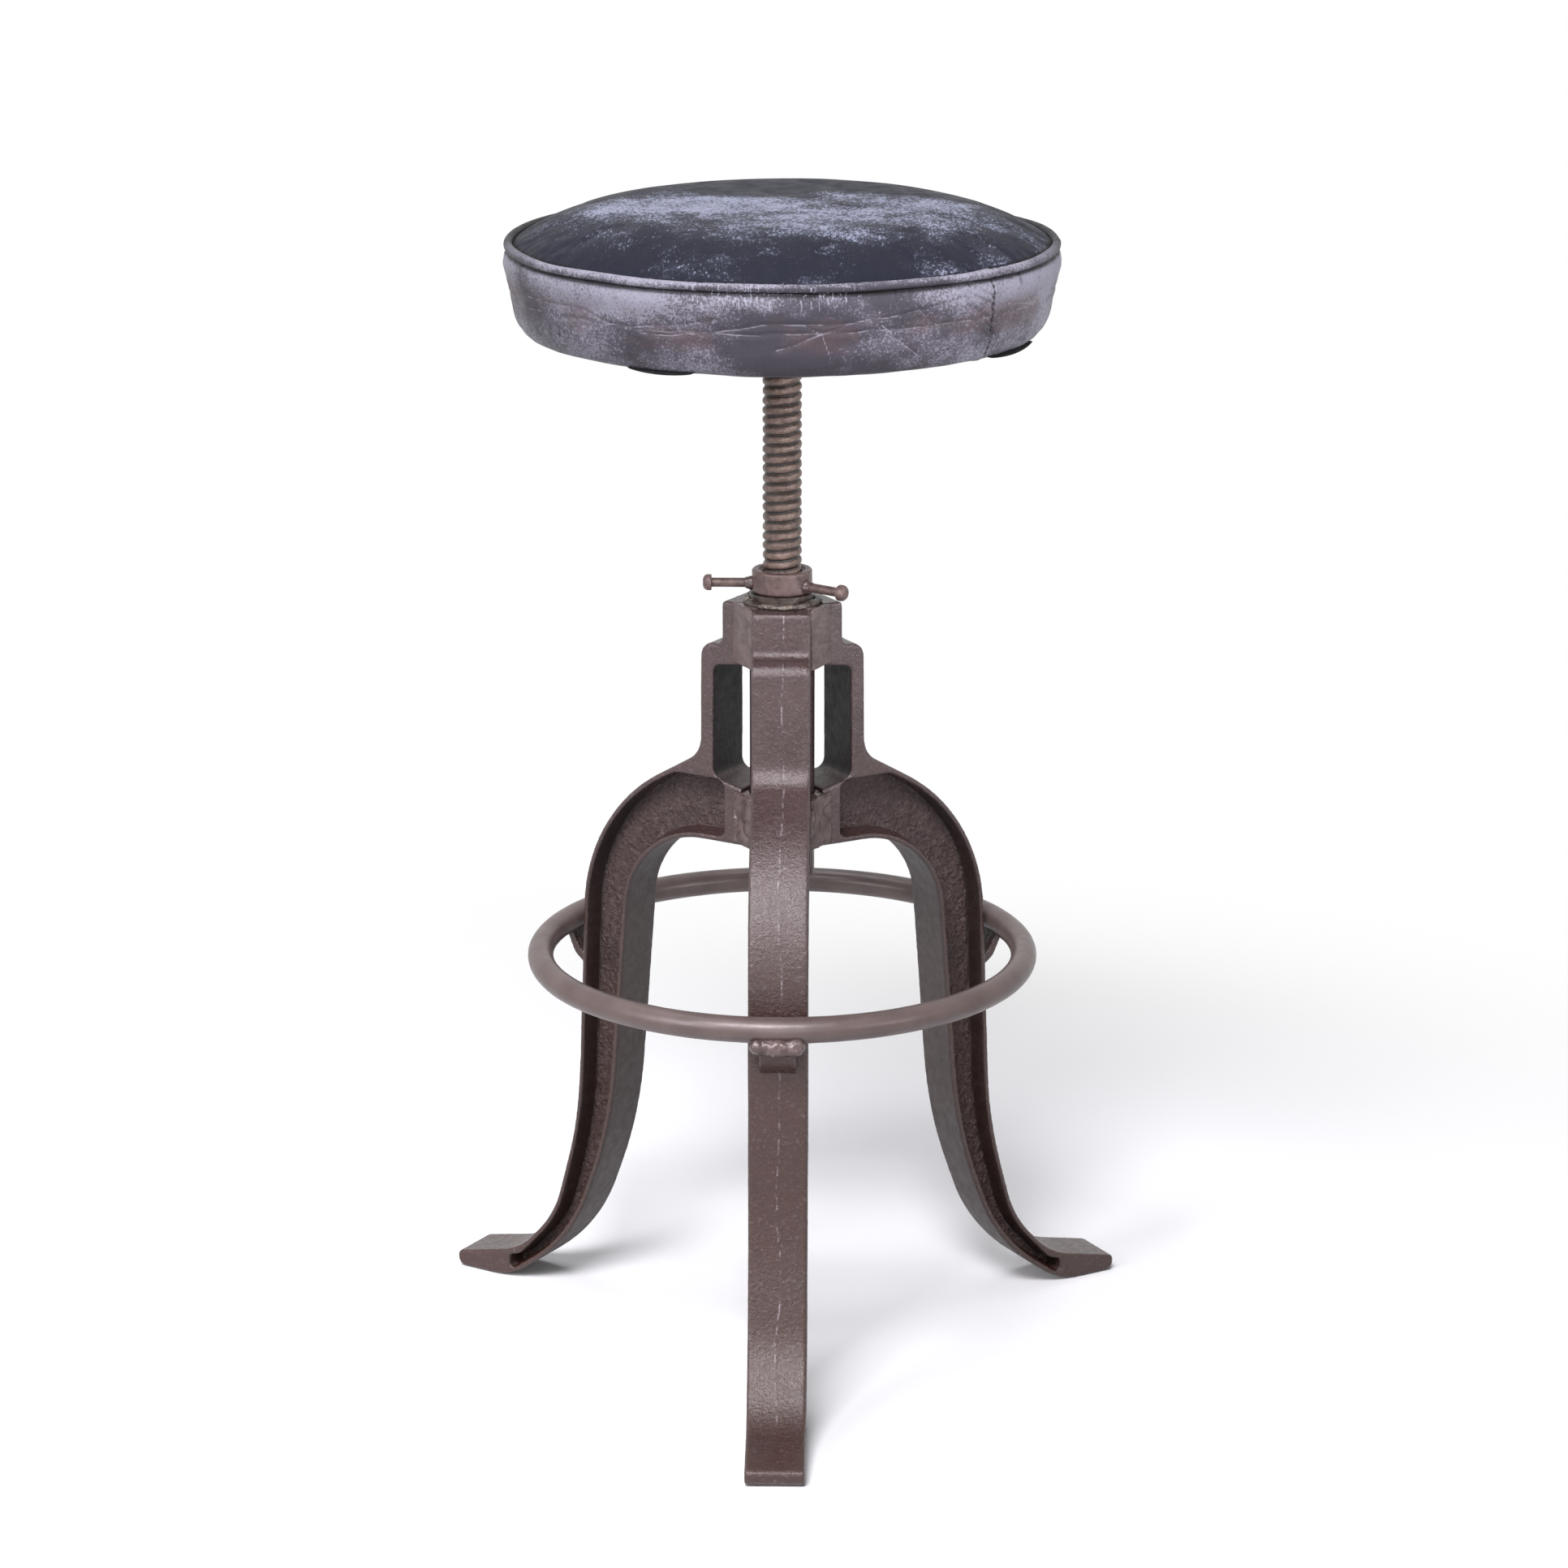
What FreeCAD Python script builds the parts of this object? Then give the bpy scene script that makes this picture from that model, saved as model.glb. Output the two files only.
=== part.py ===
import FreeCAD, Part
import math
import os

import Sketcher
from FreeCAD import Placement, Rotation, Vector

# Machinist stool: a round padded seat on a lift screw, three cast iron legs welded to a pipe,
# and a footrest ring on bent straps.
# Millimetres. Z is up, the origin is on the screw axis at the floor, and the front leg points along -Y.

doc = FreeCAD.newDocument("MachinistStool")

# Sizes of the stool, one named cell each

SIZES = [
    # Pipe at the middle of the base
    ("pipe_radius", 21.2),
    ("pipe_wall", 3.25),
    ("pipe_rise", 3.0),
    ("pipe_foot", 18.8),
    # Casting of one leg, in steps out from the pipe and up from the floor
    ("leg_width", 38.0),
    ("leg_edge_round", 1.6),
    ("saddle_depth", 1.2),
    ("lug_depth", 13.6),
    ("lug_length", 29.5),
    ("lug_top_round", 3.0),
    ("lug_root_round", 5.0),
    ("shoulder_reach", 16.2),
    ("shoulder_round", 9.0),
    ("upright_length", 76.0),
    ("waist_flare", 1.0),
    ("waist_round", 18.0),
    ("hip_reach", 90.2),
    ("hip_drop", 52.7),
    ("hip_round", 122.0),
    ("shin_lean", 9.9),
    ("shin_length", 220.3),
    ("shin_round", 300.0),
    ("ankle_reach", 21.3),
    ("ankle_length", 76.2),
    ("ankle_round", 80.0),
    ("instep_reach", 30.6),
    ("instep_drop", 32.6),
    ("instep_round", 50.0),
    ("toe_reach", 51.0),
    ("toe_slope", 11.4),
    ("toe_thickness", 10.3),
    ("toe_top_round", 3.0),
    ("toe_bottom_round", 6.0),
    ("heel_reach", 7.4),
    ("heel_round", 50.0),
    ("ankle_depth", 14.7),
    ("ankle_step", 16.4),
    ("calf_foot_round", 130.0),
    ("calf_depth", 27.7),
    ("calf_step", 2.3),
    ("calf_round", 310.0),
    ("arch_depth", 36.2),
    ("arch_step", 6.0),
    ("arch_round", 60.0),
    # Window in the upper end of the leg
    ("window_sill", 32.7),
    ("window_sill_slope", 5.5),
    ("window_low_wall", 10.5),
    ("window_low_round", 7.0),
    ("window_high_wall", 9.8),
    ("window_high_round", 5.0),
    ("window_head_drop", 12.0),
    ("window_head_slope", 3.0),
    # Recess in each side of the leg
    ("recess_depth", 15.0),
    ("recess_draft", 9.0),
    ("recess_outer_rim", 3.2),
    ("recess_inner_rim", 3.6),
    ("recess_hub_rim", 11.8),
    ("recess_hub_low_round", 6.0),
    ("recess_hub_high_round", 8.0),
    ("recess_top_rise", 4.5),
    ("recess_top_round", 16.0),
    ("recess_toe_reach", 7.0),
    ("recess_toe_round", 2.8),
    ("recess_instep_round", 12.0),
    # Nut and hub welds
    ("nut_length", 33.0),
    ("nut_flange_thickness", 4.0),
    ("thread_clearance", 0.05),
    ("hub_weld_depth", 8.75),
    ("upper_weld_gap", 1.0),
    ("lower_weld_gap", 1.5),
    ("lower_weld_foot", 2.2),
    ("top_bead_width", 4.8),
    ("top_bead_height", 3.6),
    ("top_bead_slope", 0.6),
    # Footrest ring and its straps
    ("ring_height", 270.2),
    ("ring_bar_radius", 8.5),
    ("ring_gap", 5.68),
    ("strap_width", 23.0),
    ("strap_foot_drop", 33.7),
    ("strap_foot_thickness", 8.0),
    ("strap_bend_inset", 2.4),
    ("strap_bend_drop", 24.6),
    ("strap_bend_width", 4.0),
    ("strap_bend_rise", 3.8),
    ("strap_bend_round", 8.0),
    ("strap_bend_outer_round", 13.0),
    ("strap_tip_reach", 6.0),
    ("strap_tip_thickness", 5.6),
    ("strap_tip_drop", 6.2),
    ("ring_weld_radius", 5.6),
    ("ring_weld_length", 25.0),
    ("ring_weld_reach", 6.2),
    ("ring_weld_drop", 9.2),
    # Lock collar and handles
    ("collar_clearance", 0.1),
    ("collar_wall", 6.7),
    ("collar_height", 15.0),
    ("collar_gap", 0.1),
    ("collar_recess_width", 2.2),
    ("collar_recess_depth", 1.5),
    ("collar_edge_round", 1.4),
    ("handle_lift", 5.4),
    ("handle_shank_radius", 3.0),
    ("handle_length", 31.9),
    ("handle_head_radius", 5.25),
    ("handle_head_thickness", 5.6),
    ("handle_head_round", 0.7),
    ("handle_head_dome", 3.4),
    ("handle_root_depth", 2.0),
    ("handle_weld_radius", 5.0),
    ("handle_weld_length", 4.7),
    ("handle_weld_lip", 0.4),
    # Lift screw and the stop ring at its foot
    ("screw_radius", 12.7),
    ("screw_reserve", 15.3),
    ("journal_step", 5.7),
    ("journal_clearance", 0.05),
    ("stop_ring_clearance", 0.3),
    ("stop_ring_length", 12.0),
    ("stop_ring_end_gap", 0.15),
    ("stop_washer_lip", 4.0),
    ("stop_washer_thickness", 2.0),
    ("stop_bolt_radius", 4.0),
    ("stop_bolt_depth", 20.0),
    ("stop_bolt_head_flats", 13.0),
    ("stop_bolt_head_height", 5.3),
    # Plate under the seat
    ("plate_radius", 70.0),
    ("plate_thickness", 5.0),
    ("plate_weld_leg", 6.0),
    ("plate_bolt_margin", 18.0),
    ("plate_bolt_radius", 3.0),
    ("plate_bolt_depth", 14.0),
    ("plate_bolt_flats", 10.0),
    ("plate_bolt_head_height", 4.0),
    # Seat
    ("seat_height", 768.0),
    ("seat_radius", 177.7),
    ("leather_thickness", 2.0),
    ("crown_rise", 24.0),
    ("crown_dish", 0.5),
    ("crown_shoulder", 45.0),
    ("crown_round", 140.0),
    ("piping_radius", 3.6),
    ("seam_inset", 3.7),
    ("seam_rise", 2.2),
    ("top_edge_inset", 1.9),
    ("band_length", 54.0),
    ("band_flare", 10.7),
    ("band_foot_round", 12.5),
    ("hem_width", 37.0),
    ("board_margin", 15.0),
    ("board_thickness", 18.0),
    ("cover_thickness", 0.8),
    ("cover_gap", 3.0),
    ("cover_margin", 17.0),
]

# Radii and heights that follow from the sizes

PLACES = {
    "lug_radius": "pipe_radius + lug_depth",
    "shoulder_radius": "lug_radius + shoulder_reach",
    "waist_radius": "shoulder_radius + waist_flare",
    "hip_radius": "waist_radius + hip_reach",
    "shin_radius": "hip_radius + shin_lean",
    "ankle_radius": "shin_radius + ankle_reach",
    "instep_radius": "ankle_radius + instep_reach",
    "toe_radius": "instep_radius + toe_reach",
    "heel_radius": "instep_radius + heel_reach",
    "calf_foot_radius": "ankle_radius - ankle_depth",
    "calf_radius": "shin_radius - calf_depth",
    "arch_radius": "hip_radius - arch_depth",
    "instep_height": "toe_thickness + toe_slope",
    "ankle_height": "instep_height + instep_drop",
    "shin_height": "ankle_height + ankle_length",
    "hip_height": "shin_height + shin_length",
    "waist_height": "hip_height + hip_drop",
    "lug_bottom_height": "waist_height + upright_length",
    "leg_top_height": "lug_bottom_height + lug_length",
    "calf_foot_height": "ankle_height - ankle_step",
    "calf_height": "shin_height - calf_step",
    "arch_height": "hip_height - arch_step",
    "window_foot_height": "hip_height + window_sill",
    "window_low_radius": "waist_radius - window_low_wall",
    "window_low_height": "window_foot_height + window_sill_slope",
    "window_high_radius": "shoulder_radius - window_high_wall",
    "window_head_height": "lug_bottom_height - window_head_drop",
    "window_high_height": "window_head_height - window_head_slope",
    "recess_hub_radius": "pipe_radius + recess_hub_rim",
    "recess_top_height": "window_foot_height + recess_top_rise",
    "recess_toe_radius": "instep_radius + recess_toe_reach",
    "pipe_bottom_height": "arch_height - pipe_foot",
    "pipe_top_height": "leg_top_height + pipe_rise",
    "nut_foot_height": "pipe_top_height - nut_length",
    "nut_top_height": "pipe_top_height + nut_flange_thickness",
    "upper_weld_bottom_height": "window_head_height + upper_weld_gap",
    "lower_weld_top_height": "window_foot_height - lower_weld_gap",
    "lower_weld_bottom_height": "arch_height + lower_weld_foot",
    "hub_weld_apothem": "pipe_radius + hub_weld_depth",
    "top_bead_radius": "pipe_radius + top_bead_width",
    "shin_slant": "shin_lean / shin_length",
    "ring_radius": "hip_radius + ( hip_height - ring_height ) * shin_slant + ring_gap + ring_bar_radius",
    "strap_foot_low_height": "ring_height - strap_foot_drop",
    "strap_foot_low_radius": "hip_radius + ( hip_height - strap_foot_low_height ) * shin_slant",
    "strap_foot_high_height": "strap_foot_low_height + strap_foot_thickness",
    "strap_foot_high_radius": "hip_radius + ( hip_height - strap_foot_high_height ) * shin_slant",
    "strap_low_bend_radius": "ring_radius - strap_bend_inset",
    "strap_low_bend_height": "ring_height - strap_bend_drop",
    "strap_high_bend_radius": "strap_low_bend_radius - strap_bend_width",
    "strap_high_bend_height": "strap_low_bend_height + strap_bend_rise",
    "strap_tip_low_radius": "ring_radius + strap_tip_reach",
    "strap_tip_high_radius": "strap_tip_low_radius - strap_tip_thickness",
    "strap_tip_height": "ring_height - strap_tip_drop",
    "ring_weld_center_radius": "ring_radius + ring_weld_reach",
    "ring_weld_center_height": "ring_height - ring_weld_drop",
    "collar_bore_radius": "screw_radius + collar_clearance",
    "collar_radius": "collar_bore_radius + collar_wall",
    "collar_recess_radius": "collar_bore_radius + collar_recess_width",
    "collar_foot_height": "nut_top_height + collar_gap",
    "collar_top_height": "collar_foot_height + collar_height",
    "collar_floor_height": "collar_top_height - collar_recess_depth",
    "handle_height": "collar_foot_height + handle_lift",
    "handle_reach": "collar_radius + handle_length",
    "handle_head_foot": "handle_reach - handle_head_thickness",
    "handle_root_radius": "collar_radius - handle_root_depth",
    "screw_shoulder_height": "nut_foot_height - screw_reserve",
    "journal_radius": "screw_radius - journal_step",
    "journal_length": "stop_ring_length + 2 * stop_ring_end_gap",
    "journal_end_height": "screw_shoulder_height - journal_length",
    "stop_ring_radius": "pipe_radius - pipe_wall - stop_ring_clearance",
    "stop_washer_radius": "journal_radius + stop_washer_lip",
    "stop_bolt_seat_height": "journal_end_height - stop_washer_thickness",
    "seam_height": "seat_height - crown_rise",
    "band_top_height": "seam_height - seam_rise",
    "seat_bottom_height": "band_top_height - band_length",
    "board_bottom_height": "seat_bottom_height + leather_thickness",
    "board_top_height": "board_bottom_height + board_thickness",
    "plate_bottom_height": "board_bottom_height - plate_thickness",
    "plate_bolt_circle": "plate_radius - plate_bolt_margin",
    "seat_foot_radius": "seat_radius - band_flare",
    "band_hem_radius": "seat_foot_radius - hem_width",
    "board_radius": "seat_foot_radius - board_margin",
    "seam_radius": "seat_radius - seam_inset",
    "top_edge_radius": "seam_radius - top_edge_inset",
    "crown_corner_radius": "top_edge_radius - crown_shoulder",
    "crown_corner_height": "seat_height - crown_dish",
    "crown_fall": "crown_rise - crown_dish",
    "crown_slant": "sqrt( crown_shoulder ^ 2 + crown_fall ^ 2 )",
    "pad_foot_radius": "seat_foot_radius - leather_thickness",
    "pad_foot_round": "band_foot_round - leather_thickness",
    "pad_side_radius": "seat_radius - leather_thickness",
    "pad_edge_radius": "top_edge_radius - leather_thickness * crown_slant / crown_fall",
    "pad_corner_radius": "crown_corner_radius - leather_thickness * crown_fall / crown_slant",
    "pad_corner_height": "crown_corner_height - leather_thickness * crown_shoulder / crown_slant",
    "pad_corner_round": "crown_round - leather_thickness",
    "pad_crown_height": "seat_height - leather_thickness",
    "cover_inner_radius": "plate_radius + cover_gap",
    "cover_outer_radius": "seat_foot_radius - cover_margin",
}

sizes = doc.addObject("Spreadsheet::Sheet", "Sizes")
for row, (alias, value) in enumerate(SIZES, start=1):
    sizes.set("A%d" % row, alias)
    sizes.set("B%d" % row, str(value))
    sizes.setAlias("B%d" % row, alias)
doc.recompute()

LEG_ANGLES = {"front": -90.0, "left": 150.0, "right": 30.0}
HANDLE_ANGLES = {"left": 180.0, "right": -36.0}
HEXAGON_SIDE_COUNT = 6
TRIANGLE_SIDE_COUNT = 3
PLATE_BOLT_COUNT = 4
nodes = []


def cells(formula):
    """Write a formula of sizes and places as an expression on the sheet."""
    known = {alias for alias, value in SIZES}
    words = []
    for word in formula.replace("(", "( ").replace(")", " )").split():
        if word in PLACES:
            words.append("( %s )" % cells(PLACES[word]))
        else:
            words.append("Sizes." + word if word in known else word)
    return " ".join(words)


def size(alias):
    """Read one size from the sheet as a plain number."""
    return float(sizes.get(alias))


def bind(feature, **formulas):
    """Bind properties of an object to cells of the sheet."""
    for name, formula in formulas.items():
        feature.setExpression(name.replace("__", "."), cells(formula))


def node(label, feature):
    """Name a finished sub-part."""
    feature.Label = label
    nodes.append(feature)
    return feature


# Sketches


def new_body(name, angle=0.0):
    body = doc.addObject("PartDesign::Body", name)
    body.Placement = Placement(Vector(0, 0, 0), Rotation(Vector(0, 0, 1), angle))
    return body


def new_sketch(body, name, role, lift=None):
    """Attach a sketch to one of the body's own origin planes, raised by a formula."""
    plane = [part for part in body.Origin.OriginFeatures if part.Role == role][0]
    sketch = body.newObject("Sketcher::SketchObject", name)
    sketch.AttachmentSupport = [(plane, "")]
    sketch.MapMode = "FlatFace"
    if lift:
        bind(sketch, AttachmentOffset__Base__z=lift)
    return sketch


def hold(sketch, constraint, formula):
    """Add a dimension and drive it from the sheet."""
    index = sketch.addConstraint(constraint)
    sketch.setExpression("Constraints[%d]" % index, cells(formula))


def hold_point(sketch, index, point, across, up):
    """Dimension a point from the sketch origin."""
    if across == "0":
        sketch.addConstraint(Sketcher.Constraint("PointOnObject", index, point, -2))
    else:
        hold(sketch, Sketcher.Constraint("DistanceX", -1, 1, index, point, 1.0), across)
    if up == "0":
        sketch.addConstraint(Sketcher.Constraint("PointOnObject", index, point, -1))
    else:
        hold(sketch, Sketcher.Constraint("DistanceY", -1, 1, index, point, 1.0), up)


def circle(sketch, radius, across="0", up="0"):
    """A circle whose radius and centre come from the sheet."""
    index = sketch.addGeometry(Part.Circle(Vector(1, 1, 0), Vector(0, 0, 1), 1.0), False)
    hold(sketch, Sketcher.Constraint("Radius", index, 1.0), radius)
    if across == "0" and up == "0":
        sketch.addConstraint(Sketcher.Constraint("Coincident", index, 3, -1, 1))
    else:
        hold_point(sketch, index, 3, across, up)


def rounded_loop(sketch, points, radii):
    """Draw a closed loop of lines with tangent arcs at the corners that have a radius."""
    count = len(points)
    starts = []
    ends = []
    rounds = []
    for i, corner in enumerate(points):
        before = (points[i - 1] - corner).normalize()
        after = (points[(i + 1) % count] - corner).normalize()
        if not radii[i]:
            ends.append(corner)
            starts.append(corner)
            rounds.append(None)
            continue
        half = before.getAngle(after) / 2
        reach = radii[i] / math.tan(half)
        centre = corner + (before + after).normalize() * (radii[i] / math.sin(half))
        ends.append(corner + before * reach)
        starts.append(corner + after * reach)
        turns_left = before.cross(after).z < 0
        first, last = (ends[i], starts[i]) if turns_left else (starts[i], ends[i])
        angles = [math.atan2(p.y - centre.y, p.x - centre.x) for p in (first, last)]
        arc = Part.ArcOfCircle(Part.Circle(centre, Vector(0, 0, 1), radii[i]), angles[0], angles[1])
        rounds.append((arc, turns_left))
    lines = []
    for i in range(count):
        lines.append(sketch.addGeometry(Part.LineSegment(starts[i], ends[(i + 1) % count]), False))
    arcs = [sketch.addGeometry(item[0], False) if item else None for item in rounds]
    links = []
    for i in range(count):
        if arcs[i] is None:
            links.append(Sketcher.Constraint("Coincident", lines[i - 1], 2, lines[i], 1))
            continue
        inward, outward = (1, 2) if rounds[i][1] else (2, 1)
        links.append(Sketcher.Constraint("Tangent", lines[i - 1], 2, arcs[i], inward))
        links.append(Sketcher.Constraint("Tangent", arcs[i], outward, lines[i], 1))
    sketch.addConstraint(links)
    return lines, arcs


def outline(sketch, corners):
    """Draw a closed outline through corners given as formulas (across, up, radius or None).

    A construction circle or point marks each corner and carries its dimensions.
    """
    markers = []
    for across, up, radius in corners:
        if radius:
            shape = Part.Circle(Vector(1, 1, 0), Vector(0, 0, 1), 1.0)
            index = sketch.addGeometry(shape, True)
            hold(sketch, Sketcher.Constraint("Radius", index, 1.0), radius)
            markers.append((index, 3))
        else:
            index = sketch.addGeometry(Part.Point(Vector(1, 1, 0)), True)
            markers.append((index, 1))
        hold_point(sketch, index, markers[-1][1], across, up)
    doc.recompute()
    points = [sketch.getPoint(index, place) for index, place in markers]
    radii = [sketch.Geometry[index].Radius if place == 3 else 0.0 for index, place in markers]
    lines, arcs = rounded_loop(sketch, points, radii)
    ties = []
    for i, (index, place) in enumerate(markers):
        if arcs[i] is None:
            ties.append(Sketcher.Constraint("Coincident", index, place, lines[i], 1))
            continue
        ties.append(Sketcher.Constraint("PointOnObject", index, place, lines[i - 1]))
        ties.append(Sketcher.Constraint("PointOnObject", index, place, lines[i]))
        ties.append(Sketcher.Constraint("Equal", index, arcs[i]))
    sketch.addConstraint(ties)
    return points, lines, arcs


# Features


def pad(body, sketch, length, midplane=False):
    feature = body.newObject("PartDesign::Pad", body.Name + "Pad")
    feature.Profile = sketch
    bind(feature, Length=length)
    feature.Midplane = midplane
    sketch.Visibility = False
    doc.recompute()
    return feature


def revolve(body, sketch, axis="V_Axis", kind="PartDesign::Revolution"):
    feature = body.newObject(kind, body.Name + kind.split("::")[1])
    feature.Profile = sketch
    feature.ReferenceAxis = (sketch, [axis])
    feature.Angle = 360.0
    doc.recompute()
    return feature


def cut_through(body, sketch, upwards=True):
    """Cut a sketch through the whole body and make sure that it removes material."""
    before = body.Shape.Volume
    feature = body.newObject("PartDesign::Pocket", body.Name + "Pocket")
    feature.Profile = sketch
    feature.Type = "ThroughAll"
    feature.Reversed = upwards
    doc.recompute()
    if body.Shape.Volume > before - 1e-6:
        raise RuntimeError("a pocket in %s cuts nothing" % body.Name)
    return feature


def turned(name, corners, angle=0.0, axis="V_Axis"):
    """A body turned about its axis from a rounded outline."""
    body = new_body(name, angle)
    sketch = new_sketch(body, name + "Profile", "XZ_Plane")
    outline(sketch, corners)
    revolve(body, sketch, axis)
    return body


def spun(kind, name, angle, across="0", along="0", up="0", tilt=None, **formulas):
    """A primitive placed at a point that is turned about the screw axis."""
    solid = doc.addObject(kind, name)
    bind(solid, **formulas)
    turn = Rotation(Vector(0, 0, 1), angle)
    solid.Placement = Placement(Vector(0, 0, 0), turn * tilt if tilt else turn)
    spot = "cos( %s deg ) * ( %s ) - sin( %s deg ) * ( %s )" % (angle, across, angle, along)
    bind(solid, Placement__Base__x=spot)
    spot = "sin( %s deg ) * ( %s ) + cos( %s deg ) * ( %s )" % (angle, across, angle, along)
    bind(solid, Placement__Base__y=spot)
    bind(solid, Placement__Base__z=up)
    return solid


def fused(name, solids):
    whole = doc.addObject("Part::MultiFuse", name)
    whole.Shapes = solids
    return whole


def minus(name, base, tool):
    rest = doc.addObject("Part::Cut", name)
    rest.Base = base
    rest.Tool = tool
    return rest


# Legs: one outline with a C-shaped upper end, padded to the width of the casting


LEG_OUTLINE = [
    ("pipe_radius - saddle_depth", "leg_top_height", None),
    ("lug_radius", "leg_top_height", "lug_top_round"),
    ("lug_radius", "lug_bottom_height", "lug_root_round"),
    ("shoulder_radius", "lug_bottom_height", "shoulder_round"),
    ("waist_radius", "waist_height", "waist_round"),
    ("hip_radius", "hip_height", "hip_round"),
    ("shin_radius", "shin_height", "shin_round"),
    ("ankle_radius", "ankle_height", "ankle_round"),
    ("instep_radius", "instep_height", "instep_round"),
    ("toe_radius", "toe_thickness", "toe_top_round"),
    ("toe_radius", "0", "toe_bottom_round"),
    ("heel_radius", "0", "heel_round"),
    ("calf_foot_radius", "calf_foot_height", "calf_foot_round"),
    ("calf_radius", "calf_height", "calf_round"),
    ("arch_radius", "arch_height", "arch_round"),
    ("pipe_radius - saddle_depth", "arch_height", None),
    ("pipe_radius - saddle_depth", "window_foot_height", None),
    ("window_low_radius", "window_low_height", "window_low_round"),
    ("window_high_radius", "window_high_height", "window_high_round"),
    ("pipe_radius - saddle_depth", "window_head_height", None),
]
CORNER_NAMES = [corner[0] for corner in LEG_OUTLINE]


def offset_line(start, end, rim):
    """The line through two corners, moved to its right by the rim."""
    along = (end - start).normalize()
    shift = Vector(along.y, -along.x, 0) * rim
    return start + shift, along


def meet(first, second):
    """The point where two lines cross, each given as a point and a direction."""
    (a, u), (b, v) = first, second
    gap = b - a
    return a + u * ((gap.x * v.y - gap.y * v.x) / (u.x * v.y - u.y * v.x))


def edge_name(sketch, index):
    """The name of the edge that one piece of a sketch's geometry became."""
    middle = sketch.Geometry[index].value(
        (sketch.Geometry[index].FirstParameter + sketch.Geometry[index].LastParameter) / 2
    )
    spot = sketch.Placement.multVec(middle)
    gaps = [edge.distToShape(Part.Vertex(spot))[0] for edge in sketch.Shape.Edges]
    return "Edge%d" % (gaps.index(min(gaps)) + 1)


def recess(body, leg_sketch, corners, lines, arcs):
    """Sketch the recess inside the leg's outline: its walls follow the outline at the rim's width."""
    outer = size("recess_outer_rim")
    inner = size("recess_inner_rim")
    instep = corners[CORNER_NAMES.index("instep_radius")]
    sill = corners[CORNER_NAMES.index("window_low_radius") - 1]
    hub = (Vector(size("pipe_radius") + size("recess_hub_rim"), 0, 0), Vector(0, 1, 0))
    top = (Vector(0, sill.y + size("recess_top_rise"), 0), Vector(1, 0, 0))
    toe = (Vector(instep.x + size("recess_toe_reach"), 0, 0), Vector(0, 1, 0))
    front = [offset_line(corners[i], corners[i + 1], outer) for i in range(4, 9)]
    back = [offset_line(corners[i], corners[i + 1], inner) for i in range(11, 15)]
    walls = [hub, top] + front + [toe] + back
    points = [meet(walls[i - 1], walls[i]) for i in range(len(walls))]
    sketch = new_sketch(body, body.Name + "RecessSketch", "XZ_Plane", "leg_width / 2")
    rims = {3: (5, -outer), 4: (6, outer), 5: (7, outer)}
    rims.update({9: (12, -inner), 10: (13, -inner), 11: (14, inner)})
    own = {
        0: "recess_hub_low_round",
        1: "recess_hub_high_round",
        2: "recess_top_round",
        6: "recess_instep_round",
        7: "recess_toe_round",
        8: "recess_toe_round",
    }
    radii = []
    for i in range(len(points)):
        if i in own:
            radii.append(size(own[i]))
        else:
            radii.append(leg_sketch.Geometry[arcs[rims[i][0]]].Radius + rims[i][1])
    loop, bends = rounded_loop(sketch, points, radii)
    for i, alias in own.items():
        hold(sketch, Sketcher.Constraint("Radius", bends[i], radii[i]), alias)
    outside = -3
    for i, (corner, rim) in rims.items():
        sketch.addExternal(leg_sketch.Name, edge_name(leg_sketch, arcs[corner]))
        sketch.addConstraint(Sketcher.Constraint("Coincident", bends[i], 3, outside, 3))
        alias = "recess_outer_rim" if i < 7 else "recess_inner_rim"
        sign = "-" if rim < 0 else "+"
        formula = "%s %s %s" % (LEG_OUTLINE[corner][2], sign, alias)
        hold(sketch, Sketcher.Constraint("Radius", bends[i], radii[i]), formula)
        outside -= 1
    for wall, line in ((2, 4), (5, 7), (6, 8), (8, 11), (11, 14)):
        sketch.addExternal(leg_sketch.Name, edge_name(leg_sketch, lines[line]))
        sketch.addConstraint(Sketcher.Constraint("Parallel", loop[wall], outside))
        if wall == 6:
            gap = Sketcher.Constraint("Distance", loop[wall], 1, outside, outer)
            hold(sketch, gap, "recess_outer_rim")
        outside -= 1
    sketch.addConstraint(Sketcher.Constraint("Vertical", loop[0]))
    sketch.addConstraint(Sketcher.Constraint("Horizontal", loop[1]))
    sketch.addConstraint(Sketcher.Constraint("Vertical", loop[7]))
    place = Sketcher.Constraint("DistanceX", -1, 1, loop[0], 1, hub[0].x)
    hold(sketch, place, "recess_hub_radius")
    place = Sketcher.Constraint("DistanceY", -1, 1, loop[1], 1, top[0].y)
    hold(sketch, place, "recess_top_height")
    place = Sketcher.Constraint("DistanceX", -1, 1, loop[7], 1, toe[0].x)
    hold(sketch, place, "recess_toe_radius")
    doc.recompute()
    return sketch


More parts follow.
